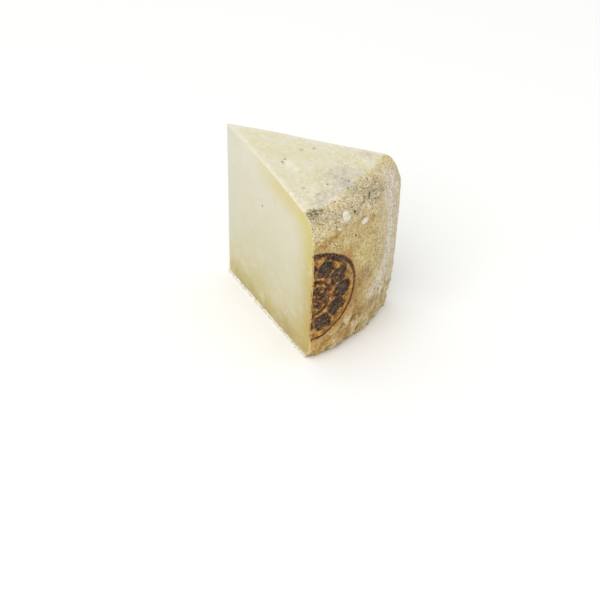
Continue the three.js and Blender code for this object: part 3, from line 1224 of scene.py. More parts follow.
def lip_tree():
    """A thin ragged cord of rind along a path."""
    inputs = [
        ("Geometry", "Geometry"),
        ("Half Width", "Float", LIP_HALF_WIDTH * MM),
        ("Half Height", "Float", LIP_HALF_HEIGHT * MM),
        ("Ragged Height", "Float", 2.0 * MM),
        ("Ragged Size", "Float", 2.0 * MM),
        ("Material", "Material"),
    ]
    tree, wiring, taken, given = new_tree("GeometryNodeTree", "rind lip", inputs)
    curve = wiring.get("GeometryNodeMeshToCurve", {"Mesh": taken["Geometry"]})
    curve = wiring.get("GeometryNodeSetCurveNormal", {"Curve": curve}, mode="Z_UP")
    circle = wiring.get("GeometryNodeCurvePrimitiveCircle", {"Resolution": 14, "Radius": 1.0})
    sockets = {"X": taken["Half Width"], "Y": taken["Half Height"], "Z": 1.0}
    across = wiring.get("ShaderNodeCombineXYZ", sockets)
    profile = wiring.get("GeometryNodeTransform", {"Geometry": circle, "Scale": across})
    sockets = {
        "Curve": curve,
        "Profile Curve": profile,
        "Scale": named(wiring, "thickness"),
        "Fill Caps": True,
    }
    cord = wiring.get("GeometryNodeCurveToMesh", sockets)
    ragged = shaken(wiring, cord, taken["Ragged Height"], taken["Ragged Size"])
    finer_height = wiring.times(taken["Ragged Height"], 0.55)
    ragged = shaken(wiring, ragged, finer_height, wiring.times(taken["Ragged Size"], 0.35))
    finish_tree(wiring, given, ragged, taken["Material"])
    return tree


def lip_mesh():
    """The lip's path as a mesh of edges."""
    stops = lip_path()
    mesh = bpy.data.meshes.new("rind_lip")
    spans = [(start, start + 1) for start in range(len(stops) - 1)]
    mesh.from_pydata([Vector(stop[:3]) * MM for stop in stops], spans, [])
    add_values(mesh, "thickness", "FLOAT", stops[:, 3])
    return mesh


# ---- lumps of salt --------------------------------------------------------------------------------------
# Azimuth and height on the side, half sizes across, along and through, and the turn of the long way.

SALT_LUMPS = [
    (-8.5, 84.4, 2.2, 2.8, 0.75, math.radians(16)),
    (-1.7, 77.0, 1.4, 2.6, 0.65, math.radians(-82)),
    (-12.0, 79.3, 0.65, 0.95, 0.4, math.radians(60)),
]
LUMP_SWELLS = [(0.16, 0.7, 21), (0.05, 0.25, 22)]  # unevenness of a lump: height, size and seed


def salt_lumps(material):
    """The lumps of salt on the shoulder, as one mesh."""
    shell = bmesh.new()
    for azimuth, height, across, along, through, turn in SALT_LUMPS:
        inner = Vector(place(azimuth, HUB_REACH, height))
        out = Vector((math.cos(math.radians(azimuth)), math.sin(math.radians(azimuth)), 0))
        spot, normal, _, _ = SOLID.ray_cast(inner, out)
        level = Vector((0, 0, 1)).cross(normal).normalized()
        up = normal.cross(level)
        side_way = level * math.cos(turn) + up * math.sin(turn)
        long_way = up * math.cos(turn) - level * math.sin(turn)
        made = bmesh.ops.create_icosphere(shell, subdivisions=4, radius=1.0)["verts"]
        local = np.array([v.co for v in made])
        growth = np.ones(len(local))
        for swell, size, seed in LUMP_SWELLS:
            growth += swell * value_noise(local + azimuth, size, seed)
        for vert, grow in zip(made, growth):
            x, y, z = vert.co * grow
            vert.co = (spot + side_way * x * across + long_way * y * along + normal * z * through) * MM
    mesh = bpy.data.meshes.new("salt_lumps")
    shell.to_mesh(mesh)
    shell.free()
    mesh.shade_smooth()
    mesh.materials.append(material)
    return mesh


# ---- shared looks ---------------------------------------------------------------------------------------


def ragged_mask_group():
    """A soft field turned into a mask with a ragged edge."""
    inputs = [
        ("Position", "Vector"),
        ("Field", "Float", 0.0),
        ("Size", "Float", 3.0),
        ("Raggedness", "Float", 0.5),
        ("Softness", "Float", 0.25),
    ]
    tree, wiring, taken, given = new_tree("ShaderNodeTree", "ragged mask", inputs, [("Mask", "Float")])
    noise = wiring.noise(taken["Position"], taken["Size"], 4.0, 0.6)
    swing = wiring.times(wiring.minus(noise, 0.5), wiring.times(2.0, taken["Raggedness"]))
    low = wiring.minus(0.5, taken["Softness"])
    high = wiring.plus(0.5, taken["Softness"])
    wiring.feed(given, "Mask", wiring.slope(wiring.plus(taken["Field"], swing), low, high))
    return tree


def specks_group():
    """Small round specks of uneven size, scattered evenly."""
    inputs = [
        ("Position", "Vector"),
        ("Spacing", "Float", 2.0),
        ("Radius", "Float", 0.3),
        ("Share", "Float", 0.5),
    ]
    tree, wiring, taken, given = new_tree("ShaderNodeTree", "specks", inputs, [("Mask", "Float")])
    sockets = {"Vector": taken["Position"], "Scale": wiring.math("DIVIDE", 1.0, taken["Spacing"])}
    cells = wiring.add("ShaderNodeTexVoronoi", sockets)
    draws = wiring.add("ShaderNodeSeparateColor", {"Color": cells.outputs["Color"]}).outputs
    kept = wiring.math("LESS_THAN", draws["Red"], taken["Share"])
    radius = wiring.times(taken["Radius"], wiring.plus(0.4, draws["Green"]))
    radius = wiring.math("DIVIDE", radius, taken["Spacing"])
    near = wiring.slope(cells.outputs["Distance"], radius, wiring.times(radius, 0.5))
    wiring.feed(given, "Mask", wiring.times(near, kept))
    return tree


def grain_group():
    """Fine grain in two sizes, for relief and for uneven colour."""
    inputs = [("Position", "Vector"), ("Coarse Size", "Float", 1.5), ("Fine Size", "Float", 0.4)]
    outputs = [("Height", "Float"), ("Tone", "Float")]
    tree, wiring, taken, given = new_tree("ShaderNodeTree", "fine grain", inputs, outputs)
    coarse = wiring.noise(taken["Position"], taken["Coarse Size"], 3.0, 0.55)
    fine = wiring.noise(taken["Position"], taken["Fine Size"], 2.0, 0.5)
    height = wiring.plus(coarse, wiring.times(fine, 0.5))
    wiring.feed(given, "Height", wiring.math("DIVIDE", height, 1.5))
    wiring.feed(given, "Tone", wiring.slope(coarse, 0.3, 0.7))
    return tree


def mosaic_group():
    """Small uneven grains side by side: a share from 0 to 1 for each grain, and the cracks between them."""
    inputs = [("Position", "Vector"), ("Size", "Float", 1.2), ("Wander", "Float", 0.6)]
    outputs = [("Share", "Float"), ("Crack", "Float")]
    tree, wiring, taken, given = new_tree("ShaderNodeTree", "mosaic", inputs, outputs)
    scale = wiring.math("DIVIDE", 1.0, taken["Size"])
    noise = wiring.add("ShaderNodeTexNoise", {"Vector": taken["Position"], "Scale": scale, "Detail": 2.0})
    middle = wiring.vector("SUBTRACT", noise.outputs["Color"], NOISE_MIDDLE)
    shift = wiring.vector("SCALE", middle, wiring.times(taken["Size"], taken["Wander"]))
    moved = wiring.vector("ADD", taken["Position"], shift)
    cells = wiring.add("ShaderNodeTexVoronoi", {"Vector": moved, "Scale": scale}, feature="SMOOTH_F1")
    wiring.feed(cells, "Smoothness", 0.15)
    draws = wiring.add("ShaderNodeSeparateColor", {"Color": cells.outputs["Color"]}).outputs
    wiring.feed(given, "Share", draws["Red"])
    sockets = {"Vector": moved, "Scale": scale}
    to_edge = wiring.get("ShaderNodeTexVoronoi", sockets, feature="DISTANCE_TO_EDGE")
    wiring.feed(given, "Crack", wiring.slope(to_edge, 0.14, 0.03))
    return tree


RAGGED_MASK = ragged_mask_group()
MOSAIC = mosaic_group()
SPECKS = specks_group()
GRAIN = grain_group()


def linear(red, green, blue):
    """A display colour, 0 to 255, as the linear colour that a shader takes."""
    display = np.array([red, green, blue]) / 255
    value = np.where(display <= 0.04045, display / 12.92, ((display + 0.055) / 1.055) ** 2.4)
    return (*map(float, value), 1.0)


class Finish(Wiring):
    """A material that is being wired, with its Principled shader."""

    def __init__(self, name, **fixed):
        self.material = bpy.data.materials.new(name)
        self.material.use_nodes = True
        super().__init__(self.material.node_tree)
        self.shader = self.tree.nodes["Principled BSDF"]
        for label, value in fixed.items():
            self.shader.inputs[label.replace("_", " ")].default_value = value
        place_now = self.add("ShaderNodeTexCoord").outputs["Object"]
        self.position = self.vector("SCALE", place_now, 1 / MM)

    def field(self, name):
        return self.add("ShaderNodeAttribute", attribute_name=name).outputs["Fac"]

    def height(self):
        """The height above the table, in millimetres."""
        return self.add("ShaderNodeSeparateXYZ", {"Vector": self.position}).outputs["Z"]

    def group(self, tree, output, **sockets):
        labels = {label.replace("_", " "): value for label, value in sockets.items()}
        node = self.add("ShaderNodeGroup", node_tree=tree)
        self.feed(node, "Position", self.position)
        for label, value in labels.items():
            self.feed(node, label, value)
        return node.outputs[output]

    def mask(self, field, size, raggedness, softness):
        sockets = {"Field": field, "Size": size, "Raggedness": raggedness, "Softness": softness}
        return self.group(RAGGED_MASK, "Mask", **sockets)

    def specks(self, spacing, radius, share):
        return self.group(SPECKS, "Mask", Spacing=spacing, Radius=radius, Share=share)

    def mosaic(self, size, wander=1.4, output="Share"):
        return self.group(MOSAIC, output, Size=size, Wander=wander)

    def drift(self, size, low, high, detail=3.0, roughness=0.5):
        """Noise with swells as wide as size, eased to 0 below low and to 1 above high."""
        return self.slope(self.noise(self.position, size, detail, roughness), low, high)

    def cloud(self, size, low, high, strength, detail=4.0):
        """A blotchy share: rougher drift, times a strength."""
        return self.times(self.drift(size, low, high, detail, 0.65), strength)

    def stretched(self, sizes, turn=(0.0, 0.0, 0.0)):
        """The position turned and then divided by a size each way."""
        scale = tuple(1 / size for size in sizes)
        return self.get("ShaderNodeMapping", {"Vector": self.position, "Rotation": turn, "Scale": scale})

    def between(self, factor, first, second):
        return self.mix(factor, linear(*first), linear(*second))

    def ramp(self, value, stops):
        """Colours read off by a value, each given as a value and a colour."""
        low, high = stops[0][0], stops[-1][0]
        sockets = {"Value": value, "From Min": low, "From Max": high}
        share = self.get("ShaderNodeMapRange", sockets)
        node = self.add("ShaderNodeValToRGB", {"Fac": share})
        elements = node.color_ramp.elements
        while len(elements) < len(stops):
            elements.new(0.5)
        for element, (place_on_ramp, colour) in zip(elements, stops):
            element.position = (place_on_ramp - low) / (high - low)
            element.color = linear(*colour)
        return node.outputs["Color"]

    def over(self, factor, below, colour):
        """A colour laid over what is below it."""
        return self.mix(factor, below, linear(*colour))

    def bump(self, height, distance):
        """Relief too fine for the mesh, its distance in millimetres."""
        sockets = {"Height": height, "Distance": distance * MM, "Strength": 1.0}
        self.feed(self.shader, "Normal", self.get("ShaderNodeBump", sockets))

    def grainy(self, coarse, fine, roughness, swing, distance):
        """Fine grain of two sizes, which varies the roughness and stands out as relief."""
        grain = self.group(GRAIN, "Height", Coarse_Size=coarse, Fine_Size=fine)
        self.feed(self.shader, "Roughness", self.minus(roughness, self.times(grain, swing)))
        self.bump(grain, distance)


# ---- finishes -------------------------------------------------------------------------------------------


# The paste's colour by height in millimetres, and the rind's yellow that it turns to at its edge.
# Darker and yellower towards the foot: partly the paste's own yellowing near the underside, partly painted
# shade and a warm painted reflection from below.
PASTE_TONES = [
    (2.0, (176, 160, 104)),
    (5.0, (180, 166, 102)),
    (9.0, (186, 174, 115)),
    (14.0, (194, 183, 134)),
    (22.0, (199, 190, 152)),
    (38.0, (202, 196, 165)),
    (56.0, (206, 201, 175)),
    (72.0, (210, 205, 183)),
    (82.0, (214, 209, 190)),
    (94.0, (214, 211, 189)),
]
EDGE_TONES = [
    (8.0, (188, 165, 80)),
    (20.0, (178, 152, 62)),
    (38.0, (183, 163, 84)),
    (60.0, (191, 174, 90)),
    (88.0, (203, 188, 106)),
]


def paste_places(finish):
    """The height and the distance from the wheel's axis at each place of the paste."""
    chart = finish.add("ShaderNodeAttribute", attribute_name="chart").outputs["Vector"]
    split = finish.add("ShaderNodeSeparateXYZ", {"Vector": chart}).outputs
    return split["Y"], split["Z"]


def paste_ground(finish):
    """The paste by height, paler towards the thin edge, and yellower towards the rind's side and top."""
    height, radius = paste_places(finish)
    shift = finish.noise(finish.stretched((16.0, 16.0, 20.0), (0, 0.5, 0)), 1.0, 3.0, 0.6)
    shift = finish.minus(shift, 0.5)
    colour = finish.ramp(finish.plus(height, finish.times(shift, 20.0)), PASTE_TONES)
    colour = finish.over(finish.cloud(18.0, 0.46, 0.66, 0.5, 3.0), colour, (211, 202, 180))
    colour = finish.over(finish.cloud(11.0, 0.5, 0.7, 0.4, 3.0), colour, (203, 199, 164))
    near_tip = finish.math("EXPONENT", finish.math("DIVIDE", radius, -9.0))
    near_tip = finish.times(near_tip, finish.slope(height, 10.0, 30.0))
    colour = finish.over(finish.times(near_tip, 0.75), colour, (204, 206, 190))

    swing = finish.times(shift, 7.0)
    near_heel = finish.slope(finish.plus(finish.field("heel_depth"), swing), 23.0, 0.0)
    near_heel = finish.times(near_heel, finish.slope(height, -6.0, 12.0))
    near_crown = finish.slope(finish.plus(finish.field("rind_depth"), swing), 20.0, 0.0)
    near_crown = finish.times(near_crown, finish.slope(height, 50.0, 80.0))
    near_crown = finish.times(near_crown, finish.slope(radius, 18.0, 70.0))
    yellowing = finish.math("MAXIMUM", near_heel, finish.times(near_crown, 0.8))
    return finish.mix(finish.math("MINIMUM", yellowing, 0.95), colour, finish.ramp(height, EDGE_TONES))


def paste_foot(finish, colour):
    """The browner foot of the paste, partly painted shade and a warm painted reflection from below, and the
    faintly sallow patch above it.
    """
    height, radius = paste_places(finish)
    foot = finish.times(finish.slope(height, 15.0, 6.0), finish.slope(radius, 42.0, 66.0))
    # Partly painted shade and a warm painted reflection from below, over the paste's own browner foot.
    colour = finish.over(finish.times(foot, 0.6), colour, (166, 145, 74))
    sallow = finish.times(finish.slope(height, 27.0, 14.0), finish.slope(height, 1.0, 12.0))
    sallow = finish.times(sallow, finish.slope(radius, 46.0, 60.0))
    sallow = finish.times(sallow, finish.slope(radius, 82.0, 70.0))
    return finish.over(finish.times(sallow, 0.2), colour, (170, 150, 74))


def paste_edges(finish, colour):
    """Pale lines where the paste meets the rind and the lip, the rind's line partly a painted highlight along
    the knife edge, painted shade in the pits, and the singe beside the mark.
    """
    height, radius = paste_places(finish)
    # The pale line beside the rind is partly its thin skin and partly a painted highlight along the knife
    # edge, strongest at the foot and the top.
    skin_and_highlight_line = finish.mask(finish.slope(finish.field("rind_depth"), 1.5, 0.0), 1.6, 0.8, 0.3)
    low_highlight = finish.times(finish.slope(height, 26.0, 14.0), 0.45)
    top_highlight = finish.times(finish.slope(height, 85.0, 90.0), 0.45)
    skin_and_highlight_share = finish.plus(finish.math("MAXIMUM", low_highlight, top_highlight), 0.12)
    colour = finish.over(finish.times(skin_and_highlight_line, skin_and_highlight_share), colour, (216, 207, 172))
    foot_line = finish.mask(finish.slope(height, 4.0, 1.5), 1.6, 0.4, 0.3)
    foot_line = finish.times(foot_line, finish.slope(radius, 62.0, 86.0))
    colour = finish.over(finish.times(foot_line, 0.5), colour, (216, 204, 172))
    # Painted shade in the pits, which also sink into the mesh.
    pit = finish.slope(finish.field("pit"), 0.02, 0.4)
    colour = finish.over(finish.times(pit, 0.85), colour, (118, 106, 74))
    singed = finish.mask(finish.slope(finish.field("heel_depth"), 3.8, -0.2), 2.2, 1.1, 0.2)
    in_mark = finish.slope(finish.field("from_mark"), MARK_RADIUS, MARK_RADIUS - 2.0)
    singed = finish.times(singed, in_mark)
    scorch = finish.between(finish.drift(2.4, 0.47, 0.6, 3.0, 0.6), (190, 142, 68), (96, 66, 38))
    return finish.mix(finish.times(singed, 0.85), colour, scorch)


def paste_material():
    """The cut cheese: smooth, pale and a little see-through, and yellower towards the rind."""
    finish = Finish(
        "cheese_paste", Subsurface_Weight=0.2, Subsurface_Radius=(1.0, 0.75, 0.4), Subsurface_Scale=2.0 * MM,
        Specular_IOR_Level=0.4,
    )
    colour = paste_foot(finish, paste_ground(finish))
    curd = finish.noise(finish.position, 4.5, 2.5, 0.5)
    colour = finish.over(finish.times(finish.slope(curd, 0.5, 0.78), 0.3), colour, (214, 209, 188))
    fine = finish.group(GRAIN, "Tone", Coarse_Size=1.1, Fine_Size=0.3)
    colour = finish.over(finish.times(fine, 0.12), colour, (184, 176, 138))
    finish.feed(finish.shader, "Base Color", paste_edges(finish, colour))
    finish.feed(finish.shader, "Roughness", finish.plus(0.42, finish.times(curd, 0.22)))
    relief = finish.plus(curd, finish.times(finish.group(GRAIN, "Height"), 0.6))
    finish.bump(relief, 0.14)
    return finish.material


def ink_masks(finish):
    """Where the mark is singed brown, and where it is burnt dark: crisp at the ring and blotchy inside it."""
    coarse = finish.minus(finish.noise(finish.position, 3.2, 3.0, 0.6), 0.5)
    fine = finish.minus(finish.noise(finish.position, 1.1, 3.0, 0.6), 0.5)
    wander = finish.plus(finish.times(coarse, 6.0), finish.times(fine, 2.4))
    inside = finish.slope(finish.field("from_mark"), MARK_RADIUS - 1.5, MARK_RADIUS - 4.5)
    calm = finish.plus(0.25, finish.times(inside, 0.75))
    ink = finish.plus(finish.field("mark"), finish.times(wander, calm))
    return finish.slope(ink, -0.8, 0.0), finish.slope(ink, -0.3, 0.35)


# The looks laid over the side of the rind, in order: field, size, raggedness and softness of its edge,
# strength, and the two colours between which it drifts.
SIDE_LOOKS = [
    # The low side's darker tan is partly the rind's own colour, partly painted shade and a warm painted
    # reflection from below.
    ("low", 5.0, 0.45, 0.45, 0.8, (188, 163, 112), (168, 140, 90)),
    ("yellow", 3.5, 0.4, 0.45, 0.85, (216, 202, 142), (202, 182, 110)),
    ("amber", 3.0, 0.35, 0.5, 0.8, (192, 156, 84), (172, 134, 66)),
    ("gold", 2.8, 0.35, 0.45, 0.9, (206, 166, 78), (182, 142, 62)),
    ("brown", 2.2, 0.5, 0.45, 0.85, (160, 126, 70), (136, 102, 54)),
    ("bloom", 3.0, 0.35, 0.6, 0.9, (214, 207, 188), (198, 186, 158)),
    ("band", 2.6, 0.4, 0.55, 0.85, (226, 221, 209), (212, 206, 191)),
    ("pale", 1.6, 0.6, 0.35, 0.8, (224, 215, 184), (210, 197, 158)),
]
MOULD_LOOKS = [
    ("grey_mould", 1.6, 0.8, 0.4, 0.4, (180, 174, 160), (152, 146, 128)),
    ("dark_mould", 0.9, 0.9, 0.3, 0.42, (118, 110, 74), (88, 82, 56)),
]
# The specks of mould, in order: field, spacing, radius, share and colour.
MOULD_SPECKS = [
    ("grey_mould", 2.2, 0.8, 0.42, (88, 84, 68)),
    ("dark_mould", 1.9, 0.95, 0.85, (50, 50, 32)),
]
# The shoulder is a mosaic of grains: the share at which each colour begins.
SHOULDER_GRAINS = [
    (0.0, (148, 126, 84)),
    (0.1, (182, 158, 106)),
    (0.25, (208, 190, 138)),
    (0.5, (216, 201, 156)),
    (0.68, (202, 194, 174)),
    (0.84, (230, 219, 186)),
    (1.0, (242, 236, 220)),
]


def lay_looks(finish, colour, looks):
    """Lays looks over a colour, each with a ragged edge and drifting between its two shades."""
    for field, size, raggedness, softness, strength, first, second in looks:
        mask = finish.mask(finish.field(field), size, raggedness, softness)
        drift = finish.drift(size * 0.7, 0.38, 0.62)
        shade = finish.between(drift, first, second)
        colour = finish.mix(finish.times(mask, strength), colour, shade)
    return colour


def side_streaks(finish, colour):
    """Drips and pale wisps down the side, and a painted highlight on the crests and painted shade in the
    hollows of its relief.
    """
    streaks = finish.noise(finish.stretched((1.7, 1.7, 9.0), (0.0, 0.12, 0.0)), 1.0, 3.0, 0.65)
    drips = finish.times(finish.field("drips"), finish.slope(streaks, 0.54, 0.38))
    colour = finish.over(finish.times(drips, 0.4), colour, (180, 160, 120))
    wisps = finish.noise(finish.stretched((2.2, 2.2, 13.0), (0.0, 0.1, 0.0)), 1.0, 3.0, 0.65)
    wisps = finish.times(finish.field("bloom"), finish.slope(wisps, 0.5, 0.62))
    colour = finish.over(finish.times(wisps, 0.55), colour, (228, 223, 212))
    # Painted highlight on the relief's crests and painted shade in its hollows, both read from the stored
    # lift.
    painted_crest_highlight = finish.slope(finish.field("lift"), -0.2, 0.8)
    painted_crest_highlight = finish.times(painted_crest_highlight, finish.slope(finish.field("gold"), 0.9, 0.0))
    painted_hollow_shade = finish.slope(finish.field("lift"), -0.3, -1.1)
    colour = finish.over(finish.times(painted_crest_highlight, 0.6), colour, (226, 212, 174))
    return finish.over(finish.times(painted_hollow_shade, 0.75), colour, (124, 96, 52))


def side_pores(finish, colour):
    """Fine specks, brown pores that thicken towards the shoulder, and the pitted patch beside the cut."""
    off_bloom = finish.slope(finish.field("bloom"), 1.2, -0.1)
    colour = finish.over(finish.times(finish.specks(3.1, 0.5, 0.5), 0.4), colour, (126, 98, 56))
    specks = finish.times(finish.specks(1.5, 0.3, 0.45), off_bloom)
    colour = finish.over(finish.times(specks, 0.6), colour, (108, 84, 50))
    pored = finish.times(finish.slope(finish.height(), 58.0, 74.0), off_bloom)
    pored = finish.times(pored, finish.cloud(3.0, 0.4, 0.56, 0.7))
    colour = finish.over(finish.times(finish.specks(1.9, 0.62, 0.5), pored), colour, (136, 104, 56))
    colour = finish.over(finish.times(finish.specks(2.5, 0.5, 0.6), pored), colour, (104, 76, 42))
    pitted = finish.mask(finish.field("pitted"), 2.4, 0.5, 0.4)
    colour = finish.over(finish.times(pitted, finish.cloud(1.7, 0.5, 0.6, 0.6)), colour, (226, 212, 152))
    return finish.over(finish.times(pitted, finish.cloud(1.25, 0.52, 0.58, 0.8)), colour, (122, 92, 46))


def side_colour(finish):
    """The rind's side: ochre drifting to tan, with its patches, streaks, cracks and pores."""
    broad = finish.drift(9.0, 0.36, 0.62, 4.0, 0.65)
    colour = finish.between(broad, (209, 192, 140), (190, 166, 108))
    colour = finish.over(finish.cloud(4.2, 0.5, 0.64, 0.5), colour, (180, 150, 94))
    colour = finish.over(finish.cloud(5.4, 0.52, 0.66, 0.5), colour, (222, 208, 164))
    colour = side_streaks(finish, lay_looks(finish, colour, SIDE_LOOKS))
    colour = finish.over(finish.cloud(1.6, 0.52, 0.62, 0.45), colour, (222, 208, 164))
    colour = finish.over(finish.cloud(1.3, 0.53, 0.62, 0.65), colour, (142, 114, 66))
    cracks = finish.times(finish.mosaic(1.6, 2.0, "Crack"), finish.cloud(3.0, 0.44, 0.62, 0.4))
    colour = finish.over(cracks, colour, (132, 106, 64))
    warmed = finish.mask(finish.field("amber"), 4.0, 0.3, 0.5)
    colour = finish.mix(finish.times(warmed, 0.4), colour, linear(250, 228, 168), "MULTIPLY")
    return side_pores(finish, colour)


def crown_colour(finish):
    """The top: cream, faintly brushed, with grey-violet bloom and a few specks."""
    broad = finish.slope(finish.noise(finish.stretched((16.0, 10.0, 16.0)), 1.0, 4.0, 0.6), 0.35, 0.65)
    colour = finish.between(broad, (217, 212, 187), (214, 206, 170))
    brushed = finish.noise(finish.stretched((6.0, 1.2, 6.0), (0, 0, 0.25)), 1.0, 3.0, 0.6)
    colour = finish.over(finish.times(finish.slope(brushed, 0.52, 0.66), 0.45), colour, (203, 194, 158))
    colour = finish.over(finish.cloud(5.0, 0.5, 0.66, 0.5, 5.0), colour, (219, 214, 202))
    outer = finish.slope(finish.field("from_middle"), 48.0, 74.0)
    lavender = finish.mask(finish.field("lavender"), 2.4, 0.9, 0.45)
    violet = finish.between(finish.drift(1.8, 0.4, 0.6), (198, 190, 178), (180, 172, 156))
    colour = finish.mix(finish.times(lavender, 0.8), colour, violet)
    grains = finish.ramp(finish.mosaic(1.3), SHOULDER_GRAINS)
    colour = finish.mix(finish.times(outer, 0.22), colour, grains)
    mottle = finish.times(finish.cloud(1.6, 0.54, 0.68, 0.45), finish.plus(outer, 0.4))
    colour = finish.over(mottle, colour, (190, 180, 152))
    colour = finish.over(finish.cloud(2.6, 0.53, 0.66, 0.5), colour, (229, 222, 208))
    pale = finish.mask(finish.field("pale"), 1.8, 0.7, 0.35)
    colour = finish.over(finish.times(pale, 0.6), colour, (232, 227, 212))
    faint = finish.mask(finish.field("faint_spot"), 0.9, 0.5, 0.35)
    colour = finish.over(finish.times(faint, 0.45), colour, (146, 136, 112))
    colour = finish.over(finish.times(finish.specks(7.0, 0.6, 0.3), 0.4), colour, (162, 147, 116))
    specks = finish.times(finish.specks(2.4, 0.34, 0.3), finish.plus(finish.times(outer, 0.3), 0.15))
    return finish.over(specks, colour, (160, 146, 116))


def aged_colour(finish):
    """The shoulder: blotched in ochre, tan and grey, with pale and dark grains."""
    small = finish.ramp(finish.mosaic(1.15), SHOULDER_GRAINS)
    large = finish.ramp(finish.mosaic(2.4), SHOULDER_GRAINS)
    grains = finish.mix(finish.cloud(4.5, 0.46, 0.56, 1.0), small, large)
    broad = finish.between(finish.cloud(4.0, 0.4, 0.6, 1.0), (210, 194, 148), (188, 168, 120))
    colour = finish.mix(0.7, broad, grains)
    colour = finish.over(finish.cloud(5.5, 0.47, 0.6, 0.5), colour, (192, 185, 172))
    colour = finish.over(finish.cloud(4.4, 0.52, 0.62, 0.5), colour, (214, 192, 134))
    colour = finish.over(finish.cloud(2.6, 0.52, 0.6, 0.6), colour, (228, 218, 188))
    colour = finish.over(finish.cloud(2.2, 0.55, 0.62, 0.45), colour, (150, 124, 78))
    cracks = finish.times(finish.mosaic(1.7, 2.4, "Crack"), finish.cloud(3.5, 0.44, 0.6, 0.7))
    colour = finish.over(cracks, colour, (116, 94, 58))
    colour = finish.over(finish.cloud(1.5, 0.56, 0.62, 0.6), colour, (132, 110, 68))
    return finish.over(finish.times(finish.specks(3.2, 0.75, 0.3), 0.6), colour, (110, 94, 60))


def mould_specks(finish, colour):
    """Dark specks crowded where the mould is, over its haze."""
    for field, spacing, radius, share, tint in MOULD_SPECKS:
        near = finish.mask(finish.field(field), 1.4, 0.7, 0.3)
        specks = finish.times(finish.specks(spacing, radius, share), near)
        colour = finish.over(finish.times(specks, 0.85), colour, tint)
    return colour


def burnt_mark(finish, colour):
    """The mark burnt into the rind: an ochre ground, singed brown round dark strokes with grey ash, partly a
    painted sheen.
    """
    from_middle = finish.field("from_mark")
    warmed = finish.slope(from_middle, MARK_RADIUS + 5.0, MARK_RADIUS)
    colour = finish.over(finish.times(warmed, 0.5), colour, (170, 128, 66))
    blotch = finish.drift(3.4, 0.4, 0.58, 4.0, 0.65)
    ground = finish.between(blotch, (166, 120, 56), (110, 76, 40))
    ground = finish.over(finish.cloud(2.8, 0.5, 0.62, 0.85), ground, (206, 158, 76))
    off_gap = finish.math("DIVIDE", finish.minus(from_middle, RING_GAP[0]), RING_GAP[1])
    gap = finish.math("EXPONENT", finish.times(finish.times(off_gap, off_gap), -1.0))
    gap = finish.times(gap, finish.slope(finish.height(), 22.0, 42.0))
    ground = finish.over(finish.times(gap, finish.cloud(2.0, 0.3, 0.7, 0.9)), ground, (190, 154, 96))
    in_mark = finish.slope(from_middle, MARK_RADIUS, MARK_RADIUS - 1.5)
    colour = finish.mix(finish.times(in_mark, 0.9), colour, ground)
    singed, burnt = ink_masks(finish)
    tint = finish.drift(2.1, 0.42, 0.58, 3.0, 0.6)
    colour = finish.mix(finish.times(singed, 0.9), colour, finish.between(tint, (142, 74, 26), (84, 50, 26)))
    soot = finish.drift(1.4, 0.42, 0.58, 4.0, 0.7)
    # Grey ash whose broad paler patches are partly a painted sheen.
    ash_and_sheen = finish.between(finish.drift(4.0, 0.42, 0.58, 3.0, 0.6), (96, 86, 72), (70, 46, 36))
    colour = finish.mix(finish.times(burnt, 0.97), colour, finish.mix(soot, linear(24, 17, 12), ash_and_sheen))
    return finish.over(finish.times(burnt, finish.cloud(1.0, 0.58, 0.64, 0.6)), colour, (172, 122, 60))


def rind_material():
    """The natural rind, from the top over the grainy shoulder and down the side, with the burnt mark."""
    finish = Finish(
        "cheese_rind", Subsurface_Weight=0.06, Subsurface_Radius=(1.0, 0.7, 0.4), Subsurface_Scale=1.0 * MM,
        Specular_IOR_Level=0.18,
    )
    side = side_colour(finish)
    aged = finish.mask(finish.field("aged"), 2.6, 0.8, 0.45)
    crown = finish.mask(finish.field("crown"), 2.0, 0.7, 0.35)
    colour = finish.mix(finish.times(aged, 0.9), side, aged_colour(finish))
    colour = finish.mix(crown, colour, crown_colour(finish))
    colour = mould_specks(finish, lay_looks(finish, colour, MOULD_LOOKS))
    spot = finish.mask(finish.field("spot"), 0.8, 0.3, 0.15)
    tint = finish.between(finish.slope(finish.height(), 74.0, 80.0), (84, 68, 44), (64, 62, 58))
    colour = finish.mix(finish.times(spot, 0.88), colour, tint)

    # A pale rim along the knife edges: partly the rind's cut section, partly a painted highlight where the
    # edge catches the light.
    edge = finish.mask(finish.slope(finish.field("edge_gap"), 4.5, -0.5), 2.2, 0.9, 0.6)
    rim_and_highlight_share = finish.plus(0.3, finish.times(finish.field("crown"), 0.3))
    rim_and_highlight = finish.mix(finish.field("crown"), linear(218, 206, 164), linear(228, 224, 210))
    colour = finish.mix(finish.times(edge, rim_and_highlight_share), colour, rim_and_highlight)
    colour = burnt_mark(finish, colour)
    finish.feed(finish.shader, "Base Color", colour)

    burnt = ink_masks(finish)[1]
    grain = finish.group(GRAIN, "Height", Coarse_Size=1.1, Fine_Size=0.4)
    rough = finish.minus(0.85, finish.times(grain, 0.25))
    finish.feed(finish.shader, "Roughness", finish.minus(rough, finish.times(burnt, 0.25)))
    finish.bump(grain, 0.5)
    return finish.material


def lip_material():
    """The crumbling edge of the underside's rind."""
    finish = Finish("rind_lip", Specular_IOR_Level=0.3)
    tone = finish.drift(2.2, 0.35, 0.65, 4.0, 0.6)
    colour = finish.between(tone, (238, 234, 222), (216, 208, 184))
    colour = finish.over(finish.times(finish.specks(2.6, 0.45, 0.4), 0.6), colour, (160, 138, 100))
    finish.feed(finish.shader, "Base Color", colour)
    finish.grainy(coarse=0.9, fine=0.3, roughness=0.85, swing=0.2, distance=0.3)
    return finish.material


